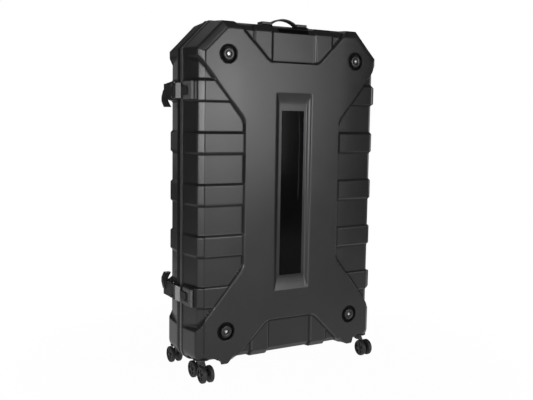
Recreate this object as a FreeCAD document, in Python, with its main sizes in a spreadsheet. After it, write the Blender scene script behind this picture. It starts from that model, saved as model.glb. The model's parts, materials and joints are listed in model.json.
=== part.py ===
import FreeCAD
import Part
import os
import Sketcher

# Hard-shell travel case for a bicycle, standing upright on four swivel casters.
# X runs across the face, Y runs from the face (minus) to the back (plus), Z is up.
# The origin is on the floor, below the middle of the case; the two half shells meet at Y = 0.

DIMENSIONS = {
    # outline of each half shell where it meets its rim, measured from the middle of the face
    "half_width": 382.0,
    "half_height": 599.0,
    "half_depth": 138.0,
    "ground_gap": 54.0,
    "corner_cut": 100.0,
    "foot_radius": 46.0,
    # sloped strip between the face and the drafted side walls
    "strip_inset": 24.0,
    "strip_depth": 19.0,
    "draft_inset": 7.0,
    "wall": 4.0,
    "outline_margin": 20.0,
    "fade_share": 0.12,
    # raised X-shaped panel, with pockets beside it and bands across the pockets
    "pocket_depth": 10.0,
    "band_drop": 3.0,
    "panel_waist": 200.0,
    "panel_kink": 258.0,
    "limb_rise_share": 1.2,
    "notch_half": 102.0,
    "notch_depth": 137.0,
    "band_height": 72.0,
    "band_pitch": 178.0,
    "notch_band_inner": 91.0,
    "notch_band_width": 72.0,
    "foot_width": 50.0,
    "foot_rise": 22.0,
    "foot_back": 30.0,
    # recess in the middle of the face and the plate on its floor
    "recess_half_width": 73.0,
    "recess_half_height": 355.0,
    "recess_depth": 10.0,
    "recess_side_slope": 12.0,
    "recess_end_slope": 52.0,
    "badge_side_margin": 15.5,
    "badge_end_margin": 6.0,
    "badge_drop": 4.0,
    "badge_thickness": 3.0,
    "badge_radius": 3.0,
    # dished seats, screws and posts that keep the faces apart
    "bolt_side_inset": 116.0,
    "bolt_end_inset": 119.0,
    "dish_radius": 31.0,
    "dish_depth": 8.0,
    "boss_radius": 36.0,
    "boss_depth": 26.0,
    "washer_radius": 21.0,
    "washer_thickness": 4.0,
    "washer_edge": 2.0,
    "bolt_radius": 4.0,
    "bolt_head_radius": 8.5,
    "bolt_head_height": 3.6,
    "hex_radius": 4.2,
    "hex_depth": 2.6,
    "bolt_grip": 20.0,
    "post_radius": 15.0,
    # rims and their seal
    "rim_width": 20.0,
    "rim_reach": 2.5,
    "rim_inset": 16.0,
    "rim_step": 3.0,
    "rim_step_inset": 2.0,
    "seam_gap": 0.5,
    "seal_inset": 7.0,
    "seal_width": 5.0,
    "seal_depth": 4.0,
    "seal_rise": 0.7,
    # flat seats for the latches, the hinges and the handle
    "seat_reach": 2.0,
    "seat_root": 14.0,
    "seat_half_height": 33.0,
    "seat_inset": 26.0,
    # latches on the left side
    "latch_half_height": 30.0,
    "latch_plate": 3.0,
    "keeper_back": 46.0,
    "keeper_wall": 13.0,
    "keeper_front_wall": 18.0,
    "keeper_rise": 6.0,
    "base_start": 22.0,
    "ear_width": 3.0,
    "pivot_y": 30.0,
    "pivot_reach": 8.0,
    "pivot_radius": 2.0,
    "pivot_eye": 4.5,
    "pivot_head": 1.5,
    "link_y": 44.0,
    "link_reach": 12.0,
    "link_radius": 1.6,
    "link_eye": 3.5,
    "lug_half_height": 15.0,
    "arm_start": 16.0,
    "arm_end": 26.0,
    "hook_inner": 10.5,
    "hook_outer": 13.5,
    "hook_front": 30.0,
    "hook_fork": 21.0,
    "tongue_clear": 19.0,
    "tongue_back": 10.0,
    "tongue_half_height": 14.0,
    "tongue_inner": 4.0,
    "lever_start": 49.0,
    "lever_inner": 4.0,
    "lever_outer": 13.0,
    "tab_length": 20.0,
    "tab_top": 4.0,
    "tab_bottom": 56.0,
    "tab_inner": 6.0,
    "side_reach": 22.0,
    # hinges on the right side
    "knuckle_radius": 7.0,
    "knuckle_half": 10.0,
    "knuckle_gap": 0.3,
    "leaf_thickness": 3.0,
    "leaf_start": 21.0,
    "leaf_end": 62.0,
    "leaf_web": 26.0,
    "leaf_lift": 1.2,
    "hinge_pin_radius": 2.5,
    "hinge_pin_head": 4.5,
    "hinge_pin_cap": 2.5,
    # carrying handle on the top
    "handle_y": 45.0,
    "handle_half": 52.0,
    "handle_width": 28.0,
    "handle_thickness": 6.0,
    "handle_arch": 17.0,
    "handle_lift": 1.0,
    "anchor_length": 43.0,
    "anchor_width": 38.0,
    "anchor_height": 8.5,
    "anchor_radius": 3.0,
    "anchor_near_share": 0.3,
    "anchor_far_share": 0.75,
    "anchor_screw_radius": 2.0,
    "anchor_screw_head": 4.5,
    "anchor_screw_cap": 2.0,
    "top_seat_root": 16.0,
    "top_seat_margin": 4.0,
    "top_plate_half": 62.0,
    "top_plate_width": 17.0,
    "top_plate_thickness": 1.6,
    # casters under the corners
    "caster_inset": 39.0,
    "caster_y": 97.0,
    "well_radius": 69.0,
    "well_rise": 23.0,
    "wheel_radius": 30.0,
    "wheel_width": 14.0,
    "wheel_inner": 7.5,
    "wheel_edge": 4.0,
    "wheel_dish_radius": 22.0,
    "wheel_dish_depth": 2.0,
    "wheel_hub_radius": 8.0,
    "spoke_inner": 11.0,
    "spoke_outer": 20.0,
    "spoke_half": 4.0,
    "spoke_depth": 4.0,
    "caster_trail": 37.0,
    "mount_radius": 30.0,
    "mount_thickness": 3.0,
    "stem_radius": 5.0,
    "stem_head_radius": 7.5,
    "stem_head_height": 3.0,
    "fork_hub_radius": 13.0,
    "fork_hub_height": 16.0,
    "fork_half_width": 6.0,
    "fork_eye": 9.0,
    "axle_radius": 3.0,
    "axle_head_radius": 5.0,
    "axle_head_height": 1.5,
    # clearances of running fits and of pieces that pass each other
    "fit": 0.05,
    "gap": 0.3,
}
SPOKES = 5

doc = FreeCAD.newDocument("travel_case")
sheet = doc.addObject("Spreadsheet::Sheet", "Dims")
for row, (alias, number) in enumerate(DIMENSIONS.items(), start=1):
    sheet.set(f"A{row}", alias)
    sheet.set(f"B{row}", str(number))
    sheet.setAlias(f"B{row}", alias)
doc.recompute()
NODES = []


class Size:
    """A length with its present value and the sheet expression that gives it."""

    def __init__(self, value, text):
        self.value = value
        self.text = text

    def __add__(self, other):
        other = as_size(other)
        return Size(self.value + other.value, f"({self.text} + {other.text})")

    def __sub__(self, other):
        other = as_size(other)
        return Size(self.value - other.value, f"({self.text} - {other.text})")

    def __mul__(self, other):
        other = as_size(other)
        return Size(self.value * other.value, f"({self.text} * {other.text})")

    def __truediv__(self, other):
        other = as_size(other)
        return Size(self.value / other.value, f"({self.text} / {other.text})")

    def __neg__(self):
        return Size(-self.value, f"(0 - {self.text})")

    def root(self):
        return Size(self.value ** 0.5, f"sqrt({self.text})")

    __radd__ = __add__
    __rmul__ = __mul__


def as_size(number):
    return number if isinstance(number, Size) else Size(float(number), repr(float(number)))


class Sizes:
    """Reads the driving dimensions by name."""

    def __getattr__(self, alias):
        return Size(float(sheet.get(alias)), f"Dims.{alias}")


D = Sizes()
ZERO = as_size(0)
SEAT_X = D.half_width + D.seat_reach
HINGE_X = SEAT_X + D.side_reach - D.knuckle_radius
LATCH_Z = 2 * D.band_pitch
SEAT_Y = D.half_depth - D.seat_inset
CENTRE = D.ground_gap + D.half_height
TOP = CENTRE + D.half_height
NOTCH_Z = D.half_height - D.notch_depth
CASTER_X = D.half_width - D.caster_inset
WELL_Z = D.ground_gap + D.well_rise
AXLE_Z = D.wheel_radius
STRIP_RISE = D.strip_depth / D.strip_inset
STRIP_LENGTH = (D.strip_depth * D.strip_depth + D.strip_inset * D.strip_inset).root()
CREASE_SHARE = ((STRIP_RISE * STRIP_RISE + 1).root() - 1) / STRIP_RISE
SLANT_SHARE = as_size(2).root()
CORNER_SHARE = SLANT_SHARE - 1
LIMB_SLANT_SHARE = (D.limb_rise_share * D.limb_rise_share + 1).root()


def node(item, label):
    """Name a finished sub-part and keep it for writing."""
    item.Label = label
    NODES.append(item)
    return item


def bind(item, path, size):
    item.setExpression(path, as_size(size).text)


def move(item, x=ZERO, y=ZERO, z=ZERO):
    bind(item, "Placement.Base.x", x)
    bind(item, "Placement.Base.y", y)
    bind(item, "Placement.Base.z", z)
    return item


def vector(point):
    return FreeCAD.Vector(as_size(point[0]).value, as_size(point[1]).value, 0)


def pin_point(sketch, edge, corner, point):
    """Tie one end of an edge to the sheet, measured from the sketch's origin."""
    for kind, along in (("DistanceX", point[0]), ("DistanceY", point[1])):
        along = as_size(along)
        row = sketch.addConstraint(Sketcher.Constraint(kind, -1, 1, edge, corner, along.value))
        sketch.setExpression(f"Constraints[{row}]", along.text)


def arc_between(start, end, radius):
    """Arc from start to end that turns left, or right where the radius is negative."""
    chord = end - start
    left = FreeCAD.Vector(-chord.y, chord.x, 0).normalize()
    rise = (radius * radius - chord.Length * chord.Length / 4) ** 0.5
    side = 1 if radius > 0 else -1
    centre = start + chord * 0.5 + left * (side * rise)
    middle = centre + ((start + chord * 0.5) - centre).normalize() * abs(radius)
    if radius < 0:
        return Part.ArcOfCircle(end, middle, start)
    return Part.ArcOfCircle(start, middle, end)


def draw(sketch, points):
    """Close a profile through the points; a third value makes the next edge an arc of that radius."""
    ends = []
    for index, point in enumerate(points):
        following = points[(index + 1) % len(points)]
        if len(point) == 2:
            edge = sketch.addGeometry(Part.LineSegment(vector(point), vector(following)))
            ends.append((edge, 1, 2))
            continue
        radius = as_size(point[2])
        edge = sketch.addGeometry(arc_between(vector(point), vector(following), radius.value))
        ends.append((edge, 1, 2) if radius.value > 0 else (edge, 2, 1))
        size = radius if radius.value > 0 else -radius
        row = sketch.addConstraint(Sketcher.Constraint("Radius", edge, size.value))
        sketch.setExpression(f"Constraints[{row}]", size.text)
    for index, (edge, first, last) in enumerate(ends):
        next_edge, next_first, next_last = ends[(index + 1) % len(ends)]
        sketch.addConstraint(Sketcher.Constraint("Coincident", edge, last, next_edge, next_first))
        pin_point(sketch, edge, first, points[index])


def ring(sketch, centre, radius):
    """Draw a full circle about a centre."""
    radius = as_size(radius)
    edge = sketch.addGeometry(Part.Circle(vector(centre), FreeCAD.Vector(0, 0, 1), radius.value))
    pin_point(sketch, edge, 3, centre)
    row = sketch.addConstraint(Sketcher.Constraint("Radius", edge, radius.value))
    sketch.setExpression(f"Constraints[{row}]", radius.text)


def new_body(label):
    body = doc.addObject("PartDesign::Body", "Body")
    body.Label = label
    return body


def plane_of(body, role):
    return next(plane for plane in body.Origin.OriginFeatures if plane.Role == role)


def sketch_on(body, role, level, points=(), circles=(), up=ZERO, inner=()):
    """Sketch on an origin plane of the body, moved along its normal and upward in the plane."""
    sketch = body.newObject("Sketcher::SketchObject", "Sketch")
    sketch.AttachmentSupport = [(plane_of(body, role), "")]
    sketch.MapMode = "FlatFace"
    bind(sketch, "AttachmentOffset.Base.z", level)
    bind(sketch, "AttachmentOffset.Base.y", up)
    for outline in (points, inner):
        if outline:
            draw(sketch, outline)
    for centre, radius in circles:
        ring(sketch, centre, radius)
    return sketch


def pad(body, role, low, high, points=(), circles=(), up=ZERO, inner=()):
    """Add a prism between two levels along X, Y or Z."""
    level = -as_size(high) if role == "XZ_Plane" else as_size(low)
    feature = body.newObject("PartDesign::Pad", "Pad")
    feature.Profile = sketch_on(body, role, level, points, circles, up, inner)
    bind(feature, "Length", as_size(high) - low)
    return body


def pocket(body, role, low, high, points=(), circles=(), up=ZERO, inner=()):
    """Cut a prism between two levels along X, Y or Z."""
    level = -as_size(low) if role == "XZ_Plane" else as_size(high)
    feature = body.newObject("PartDesign::Pocket", "Pocket")
    feature.Profile = sketch_on(body, role, level, points, circles, up, inner)
    bind(feature, "Length", as_size(high) - low)
    return feature


def round_corners(body, radius, axis):
    """Round the straight edges of the body that run along one axis."""
    doc.recompute()
    base = body.Tip
    names = [f"Edge{number}" for number, edge in enumerate(base.Shape.Edges, start=1)
             if abs(getattr(edge.tangentAt(edge.FirstParameter), axis)) == 1]
    feature = body.newObject("PartDesign::Fillet", "Fillet")
    feature.Base = (base, names)
    bind(feature, "Radius", radius)


def box_points(x_low, x_high, y_low, y_high):
    return [(x_low, y_low), (x_high, y_low), (x_high, y_high), (x_low, y_high)]


def block(label, x_low, x_high, y_low, y_high, z_low, z_high):
    """Plain box between levels on the three axes."""
    item = doc.addObject("Part::Box", "Box")
    item.Label = label
    bind(item, "Length", as_size(x_high) - x_low)
    bind(item, "Width", as_size(y_high) - y_low)
    bind(item, "Height", as_size(z_high) - z_low)
    return move(item, x_low, y_low, z_low)


TURNS = {
    "X": FreeCAD.Rotation(FreeCAD.Vector(0, 1, 0), 90),
    "Y": FreeCAD.Rotation(FreeCAD.Vector(1, 0, 0), -90),
    "Z": FreeCAD.Rotation(),
}


def rod(label, axis, radius, length, x, y, z):
    """Plain cylinder that starts at a point and runs along an axis."""
    item = doc.addObject("Part::Cylinder", "Cylinder")
    item.Label = label
    item.Placement.Rotation = TURNS[axis]
    bind(item, "Radius", radius)
    bind(item, "Height", length)
    return move(item, x, y, z)


def fused(label, items):
    item = doc.addObject("Part::MultiFuse", "Fuse")
    item.Label = label
    item.Shapes = items
    item.Refine = True
    return item


def shared(label, base, tool):
    item = doc.addObject("Part::Common", "Common")
    item.Label = label
    item.Base = base
    item.Tool = tool
    return item


def cut(label, base, tool):
    item = doc.addObject("Part::Cut", "Cut")
    item.Label = label
    item.Base = base
    item.Tool = tool
    item.Refine = True
    return item


def mirrored(label, source):
    """Copy of a piece on the other side of the seam."""
    item = doc.addObject("Part::Mirroring", "Mirror")
    item.Label = label
    item.Source = source
    item.Normal = FreeCAD.Vector(0, 1, 0)
    return item


def group(label, items):
    item = doc.addObject("Part::Compound", "Group")
    item.Links = items
    return node(item, label)


def case_outline(inset):
    """Front view of the case: cut top corners and round bottom corners, drawn in by an inset."""
    side = D.half_width - inset
    top = D.half_height - inset
    cut_side = D.half_height - D.corner_cut - inset * CORNER_SHARE
    cut_top = D.half_width - D.corner_cut - inset * CORNER_SHARE
    flat = D.half_width - D.foot_radius
    turn = D.foot_radius - D.half_height
    arc = D.foot_radius - inset
    return [
        (-flat, -top),
        (flat, -top, arc),
        (side, turn),
        (side, cut_side),
        (cut_top, top),
        (-cut_top, top),
        (-side, cut_side),
        (-side, turn, arc),
    ]


def hull(label, drop, skin):
    """Solid of the half case at one level: face, sloped strip and drafted walls.

    drop is how far the level lies below the raised panel, and fades out towards the rim;
    skin is how far it lies below the outer surface of that level.
    """
    depth = drop + skin
    face_inset = D.strip_inset + D.draft_inset + depth * CREASE_SHARE
    side_inset = D.draft_inset + depth
    side_depth = depth + (face_inset - side_inset) * D.strip_depth / D.strip_inset
    seam_inset = drop * D.fade_share + skin
    body = new_body(label)
    sections = [
        sketch_on(body, "XZ_Plane", D.half_depth - depth, case_outline(face_inset), up=CENTRE),
        sketch_on(body, "XZ_Plane", D.half_depth - side_depth, case_outline(side_inset), up=CENTRE),
        sketch_on(body, "XZ_Plane", D.rim_width, case_outline(seam_inset), up=CENTRE),
    ]
    loft = body.newObject("PartDesign::AdditiveLoft", "Loft")
    loft.Profile = sections[0]
    loft.Sections = sections[1:]
    loft.Ruled = True
    return body


def panel_prism(label, skin):
    """Prism of the X-shaped panel, drawn in by a skin: narrow waist, four limbs and two notches."""
    waist = D.panel_waist - skin
    kink = D.panel_kink + skin * (LIMB_SLANT_SHARE - D.limb_rise_share)
    out_x = D.half_width + D.outline_margin
    out_z = D.half_height + D.outline_margin
    limb = D.panel_kink + (out_x - D.panel_waist) * D.limb_rise_share + skin * LIMB_SLANT_SHARE
    notch_x = D.notch_half + skin * CORNER_SHARE
    notch_z = NOTCH_Z - skin
    notch_out = D.notch_half + out_z - NOTCH_Z + skin * SLANT_SHARE
    right = [(waist, kink), (out_x, limb), (out_x, out_z), (notch_out, out_z), (notch_x, notch_z)]
    upper = right + [(-x, z) for x, z in reversed(right)]
    lower = [(x, -z) for x, z in reversed(upper)]
    body = new_body(label)
    return pad(body, "XZ_Plane", -D.half_depth, ZERO, upper + lower, up=CENTRE)


def band_blocks(label, skin):
    """Bands across the side pockets and along the two notches, drawn in by a skin."""
    out_x = D.half_width + D.outline_margin
    half = D.band_height / 2 - skin
    blocks = []
    for step in (-2, -1, 0, 1, 2):
        middle = CENTRE + step * D.band_pitch
        blocks.append(block(label, -out_x, out_x, -D.half_depth, ZERO, middle - half, middle + half))
    inner = D.notch_band_inner + skin
    outer = D.notch_band_inner + D.notch_band_width - skin
    low = NOTCH_Z - D.notch_band_width
    high = D.half_height + D.outline_margin
    for left, right in ((-outer, -inner), (inner, outer)):
        for floor, roof in ((-high, -low), (low, high)):
            blocks.append(block(label, left, right, -D.half_depth, ZERO,
                                CENTRE + floor, CENTRE + roof))
    return fused(label, blocks)


def skin_solid(label, skin):
    """Half case with its pockets, at a distance below the outer surface."""
    raised = shared(label, hull(label, ZERO, skin), panel_prism(label, skin))
    bands = shared(label, hull(label, D.band_drop, skin), band_blocks(label, skin))
    return fused(label, [hull(label, D.pocket_depth, skin), raised, bands])


def limb_foot(label, side):
    """Foot where a lower limb runs out square to the face, beside the wheel well."""
    inner = D.notch_half + D.notch_depth
    outer = inner + D.foot_width
    low = -D.half_height
    rise = low + D.foot_rise
    outline = [
        (inner * side, low),
        (outer * side, low),
        ((outer + D.foot_rise) * side, rise),
        ((outer + D.foot_rise) * side, rise + D.strip_inset),
        ((inner - D.foot_rise - D.strip_inset) * side, rise + D.strip_inset),
    ]
    if side < 0:
        outline.reverse()
    body = new_body(label)
    return pad(body, "XZ_Plane", -D.half_depth, D.foot_back - D.half_depth, outline, up=CENTRE)


def corners():
    """Signs of the four corners, seen on the face."""
    return [(-1, 1), (1, 1), (-1, -1), (1, -1)]


def bolt_place(side, end):
    return (D.half_width - D.bolt_side_inset) * side, CENTRE + (D.half_height - D.bolt_end_inset) * end


def seats(label):
    """Flat seats on both side walls that carry the latches and the hinges."""
    inner = SEAT_X - D.seat_root
    blocks = []
    for left, right in ((-SEAT_X, -inner), (inner, SEAT_X)):
        for end in (-1, 1):
            middle = CENTRE + LATCH_Z * end
            blocks.append(block(label, left, right, -SEAT_Y, -D.rim_width,
                                middle - D.seat_half_height, middle + D.seat_half_height))
    return blocks


def half_case(label):
    """Moulded half shell with bosses, seats, feet and wheel wells, before the face is worked."""
    case = cut(label, skin_solid(label, ZERO), skin_solid(label, D.wall))
    bosses = []
    for side, end in corners():
        x, z = bolt_place(side, end)
        bosses.append(rod(label, "Y", D.boss_radius, D.boss_depth - D.wall / 2,
                          x, D.wall / 2 - D.half_depth, z))
    wells = []
    for side in (-1, 1):
        wells.append(rod(label, "Z", D.well_radius + D.wall, WELL_Z + D.wall,
                         CASTER_X * side, -D.caster_y, ZERO))
    walls = shared(label, hull(label, ZERO, ZERO), fused(label, wells))
    feet = [limb_foot(label, side) for side in (-1, 1)]
    solid = fused(label, [case, walls] + bosses + feet + seats(label))
    hollows = []
    for side, end in corners():
        x, z = bolt_place(side, end)
        hollows.append(rod(label, "Y", D.dish_radius, D.dish_depth + D.wall, x, -D.half_depth - D.wall, z))
        hollows.append(rod(label, "Y", D.bolt_radius + D.fit, D.half_depth, x, -D.half_depth, z))
    for side in (-1, 1):
        hollows.append(rod(label, "Z", D.well_radius, WELL_Z, CASTER_X * side, -D.caster_y, ZERO))
    return cut(label, solid, fused(label, hollows))


def recess_solid(label, skin):
    """Tapered recess in the middle of the face, or the tray round it where a skin is given."""
    body = new_body(label)
    width = D.recess_half_width + skin
    height = D.recess_half_height + skin
    floor_width = width - D.recess_side_slope
    floor_height = height - D.recess_end_slope
    mouth = box_points(-width, width, -height, height)
    floor = box_points(-floor_width, floor_width, -floor_height, floor_height)
    floor_level = D.half_depth - D.recess_depth - skin
    loft = body.newObject("PartDesign::AdditiveLoft", "Loft")
    loft.Profile = sketch_on(body, "XZ_Plane", D.half_depth, mouth, up=CENTRE)
    loft.Sections = [sketch_on(body, "XZ_Plane", floor_level, floor, up=CENTRE)]
    loft.Ruled = True
    return body


def handle_seats(label):
    """Flat seats on the top of the front shell under the ends of the handle."""
    half = D.anchor_width / 2 + D.top_seat_margin
    inner = D.handle_half
    outer = D.handle_half + D.anchor_length + D.top_seat_margin
    blocks = []
    for left, right in ((-outer, -inner), (inner, outer)):
        blocks.append(block(label, left, right, -D.handle_y - half, half - D.handle_y,
                            TOP - D.top_seat_root, TOP))
    return blocks


def shells():
    """Both half shells; the front one also has the recess and the handle's seats."""
    half = half_case("half case")
    node(mirrored("rear half", half), "rear_shell")
    tray = recess_solid("recess tray", D.wall)
    front = fused("front half", [half, tray] + handle_seats("handle seat"))
    node(cut("front half", front, recess_solid("recess", ZERO)), "front_shell")


def plates():
    """Bare plate on the floor of the recess, and a narrow one on the strip under the handle."""
    floor = D.recess_depth - D.half_depth
    width = D.recess_half_width - D.recess_side_slope - D.badge_side_margin
    height = D.recess_half_height - D.recess_end_slope - D.badge_end_margin
    badge = new_body("badge")
    pad(badge, "XZ_Plane", floor - D.badge_thickness, floor,
        box_points(-width, width, -height, height), up=CENTRE - D.badge_drop)
    round_corners(badge, D.badge_radius, "y")
    node(badge, "badge_plate")
    lean_y = D.strip_depth / STRIP_LENGTH
    lean_z = D.strip_inset / STRIP_LENGTH
    face_inset = D.strip_inset + D.draft_inset + D.pocket_depth * CREASE_SHARE
    start_y = D.pocket_depth - D.half_depth
    start_z = TOP - face_inset
    margin = (STRIP_LENGTH - D.pocket_depth - D.top_plate_width) / 2
    profile = []
    for run, rise in ((margin, 0), (margin + D.top_plate_width, 0),
                      (margin + D.top_plate_width, D.top_plate_thickness), (margin, D.top_plate_thickness)):
        profile.append((start_y + run * lean_y - rise * lean_z, start_z + run * lean_z + rise * lean_y))
    top_plate = new_body("top plate")
    node(pad(top_plate, "YZ_Plane", -D.top_plate_half, D.top_plate_half, profile), "top_plate")


def rims():
    """Rim on each half shell, stepped at the seam, and the seal in the rear rim's groove."""
    front = new_body("front rim")
    step = D.seam_gap + D.rim_step
    main = case_outline(-D.rim_reach)
    lip = case_outline(D.rim_step_inset - D.rim_reach)
    mouth = case_outline(D.rim_inset)
    up = CENTRE
    pad(front, "XZ_Plane", -D.rim_width, -step, main, up=up, inner=mouth)
    pad(front, "XZ_Plane", -step, -D.seam_gap, lip, up=up, inner=mouth)
    node(front, "front_rim")
    rear = new_body("rear rim")
    groove = case_outline(D.seal_inset)
    groove_inner = case_outline(D.seal_inset + D.seal_width)
    pad(rear, "XZ_Plane", step, D.rim_width, main, up=up, inner=mouth)
    pad(rear, "XZ_Plane", D.seam_gap, step, lip, up=up, inner=mouth)
    pocket(rear, "XZ_Plane", D.seam_gap, D.seam_gap + D.seal_depth, groove, up=up, inner=groove_inner)
    node(rear, "rear_rim")
    seal = new_body("seal")
    pad(seal, "XZ_Plane", D.seam_gap - D.seal_rise, D.seam_gap + D.seal_depth, groove, up=up,
        inner=groove_inner)
    node(seal, "rim_seal")


def handle():
    """Arched strap between two screwed anchors."""
    half = D.handle_half
    low = TOP + D.handle_lift
    high = low + D.handle_thickness
    radius = (half * half + D.handle_arch * D.handle_arch) / (2 * D.handle_arch)
    strap = new_body("strap")
    width = D.handle_width / 2
    pad(strap, "XZ_Plane", -D.handle_y - width, width - D.handle_y,
        [(-half, low, -radius), (half, low), (half, high, radius), (-half, high)])
    node(strap, "handle_strap")
    screws = []
    for side, name in ((-1, "left"), (1, "right")):
        outer = half + D.anchor_length
        left, right = (-outer, -half) if side < 0 else (half, outer)
        width = D.anchor_width / 2
        anchor = new_body(name)
        pad(anchor, "XY_Plane", TOP, TOP + D.anchor_height,
            box_points(left, right, -D.handle_y - width, width - D.handle_y))
        round_corners(anchor, D.anchor_radius, "z")
        shares = (D.anchor_near_share, D.anchor_far_share)
        places = [((half + D.anchor_length * share) * side, -D.handle_y) for share in shares]
        pocket(anchor, "XY_Plane", TOP, TOP + D.anchor_height,
               circles=[(place, D.anchor_screw_radius + D.fit) for place in places])
        node(anchor, f"handle_anchor_{name}")
        for x, y in places:
            shank = rod("shank", "Z", D.anchor_screw_radius, D.anchor_height, x, y, TOP)
            head = rod("head", "Z", D.anchor_screw_head, D.anchor_screw_cap, x, y, TOP + D.anchor_height)
            screws.append(fused("handle screw", [shank, head]))
    group("handle_screws", screws)


def beside(reach):
    """X of a level outside the seats on the left side."""
    return -(SEAT_X + reach)


def latch_keeper(name, z):
    body = new_body(name)
    tall = D.latch_half_height
    front = -SEAT_Y
    back = -D.keeper_back
    slot = tall - D.keeper_wall
    stop = front + D.keeper_front_wall
    pad(body, "YZ_Plane", beside(D.latch_plate), beside(ZERO), box_points(front, back, -tall, tall), up=z)
    walls = [(front, -tall), (back, -tall), (back, -slot), (stop, -slot),
             (stop, slot), (back, slot), (back, tall), (front, tall)]
    pad(body, "YZ_Plane", beside(D.latch_plate + D.keeper_rise), beside(D.latch_plate), walls, up=z)
    node(body, f"{name}_keeper")


def latch_base(name, z):
    body = new_body(name)
    tall = D.latch_half_height
    pivot = (beside(D.pivot_reach), D.pivot_y)
    pad(body, "YZ_Plane", beside(D.latch_plate), beside(ZERO),
        box_points(D.base_start, SEAT_Y, -tall, tall), up=z)
    ear = box_points(beside(D.pivot_reach), beside(ZERO), D.pivot_y - D.pivot_eye, D.pivot_y + D.pivot_eye)
    for low in (z - tall, z + tall - D.ear_width):
        pad(body, "XY_Plane", low, low + D.ear_width, ear)
        pad(body, "XY_Plane", low, low + D.ear_width, circles=[(pivot, D.pivot_eye)])
    pocket(body, "XY_Plane", z - tall, z + tall, circles=[(pivot, D.pivot_radius + D.fit)])
    node(body, f"{name}_base")
    pin = rod("pin", "Z", D.pivot_radius, tall + tall, pivot[0], pivot[1], z - tall)
    cap = rod("cap", "Z", D.pivot_eye - D.pivot_head, D.pivot_head, pivot[0], pivot[1], z + tall)
    node(fused("pivot pin", [pin, cap]), f"{name}_pivot_pin")


def latch_lever(name, z, end):
    """Lever that swings outward on the pivot, with a finger tab at its free end."""
    body = new_body(name)
    pivot = (beside(D.pivot_reach), D.pivot_y)
    link = (beside(D.link_reach), D.link_y)
    low = z - D.lug_half_height
    high = z + D.lug_half_height
    pad(body, "XY_Plane", z - D.arm_end, z + D.arm_end,
        box_points(beside(D.lever_outer), beside(D.lever_inner), D.lever_start, SEAT_Y))
    root = D.lever_start + D.latch_plate
    pad(body, "XY_Plane", low, high, [
        (beside(D.pivot_reach - D.pivot_eye), D.pivot_y),
        (beside(D.lever_inner), root),
        (beside(D.lever_outer), root),
        (beside(D.link_reach + D.link_eye), D.link_y),
        (beside(D.pivot_reach + D.pivot_eye), D.pivot_y),
    ])
    pad(body, "XY_Plane", low, high, circles=[(pivot, D.pivot_eye)])
    near = D.tab_top if end > 0 else D.tab_bottom
    far = D.tab_bottom if end > 0 else D.tab_top
    pad(body, "XY_Plane", z - far, z + near,
        box_points(beside(D.side_reach), beside(D.tab_inner), SEAT_Y - D.tab_length, SEAT_Y))
    pocket(body, "XY_Plane", low, high,
           circles=[(pivot, D.pivot_radius + D.fit), (link, D.link_radius + D.fit)])
    node(body, f"{name}_lever")


def latch_hook(name, z):
    """Forked plate on the lever's link, with cross pin, and the tongue that lies in the keeper."""
    plate = new_body(name)
    link = (beside(D.link_reach), D.link_y)
    wide = D.arm_end
    slot = D.arm_start
    fork = [(-D.hook_front, -wide), (D.link_y, -wide), (D.link_y, -slot), (D.hook_fork, -slot),
            (D.hook_fork, slot), (D.link_y, slot), (D.link_y, wide), (-D.hook_front, wide)]
    pad(plate, "YZ_Plane", beside(D.hook_outer), beside(D.hook_inner), fork, up=z)
    for low, high in ((z - wide, z - slot), (z + slot, z + wide)):
        pad(plate, "XY_Plane", low, high, circles=[(link, D.link_eye)])
    pad(plate, "XY_Plane", z - wide, z + wide, circles=[(link, D.link_radius)])
    node(plate, f"{name}_hook")
    tongue = new_body(name)
    half = D.tongue_half_height
    front = SEAT_Y - D.keeper_front_wall - D.tongue_clear
    tip = D.keeper_rise
    outline = [(tip - front, -half), (D.tongue_back, -half), (D.tongue_back, half),
               (tip - front, half), (-front, half - tip), (-front, tip - half)]
    pad(tongue, "YZ_Plane", beside(D.hook_inner), beside(D.tongue_inner), outline, up=z)
    node(tongue, f"{name}_tongue")


def latches():
    for end, place in ((1, "upper"), (-1, "lower")):
        name = f"latch_{place}"
        z = CENTRE + LATCH_Z * end
        latch_keeper(name, z)
        latch_base(name, z)
        latch_lever(name, z, end)
        latch_hook(name, z)


def hinge_leaf(label, side, z, knuckles):
    """Leaf screwed to one seat, with a web to each of its knuckles."""
    body = new_body(label)
    tall = D.latch_half_height
    start, stop = (D.leaf_start, D.leaf_end) if side > 0 else (-D.leaf_end, -D.leaf_start)
    pad(body, "YZ_Plane", SEAT_X, SEAT_X + D.leaf_thickness, box_points(start, stop, -tall, tall), up=z)
    clear = SEAT_X + D.leaf_lift
    web = [(clear, D.leaf_web * side), (clear, D.knuckle_radius * side), (HINGE_X, ZERO),
           (clear + D.leaf_thickness, D.leaf_web * side)]
    for low, high in knuckles:
        pad(body, "XY_Plane", z + low, z + high, web)
        pad(body, "XY_Plane", z + low, z + high, circles=[((HINGE_X, ZERO), D.knuckle_radius)])
    pocket(body, "XY_Plane", z - tall, z + tall, circles=[((HINGE_X, ZERO), D.hinge_pin_radius + D.fit)])
    node(body, label)


def hinges():
    for end, place in ((1, "upper"), (-1, "lower")):
        z = CENTRE + LATCH_Z * end
        tall = D.latch_half_height
        inner = D.knuckle_half + D.knuckle_gap
        hinge_leaf(f"hinge_{place}_front_leaf", -1, z, [(-D.knuckle_half, D.knuckle_half)])
        hinge_leaf(f"hinge_{place}_rear_leaf", 1, z, [(-tall, -inner), (inner, tall)])
        pin = rod("pin", "Z", D.hinge_pin_radius, tall + tall, HINGE_X, ZERO, z - tall)
        cap = rod("cap", "Z", D.hinge_pin_head, D.hinge_pin_cap, HINGE_X, ZERO, z + tall)
        node(fused("hinge pin", [pin, cap]), f"hinge_{place}_pin")


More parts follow.
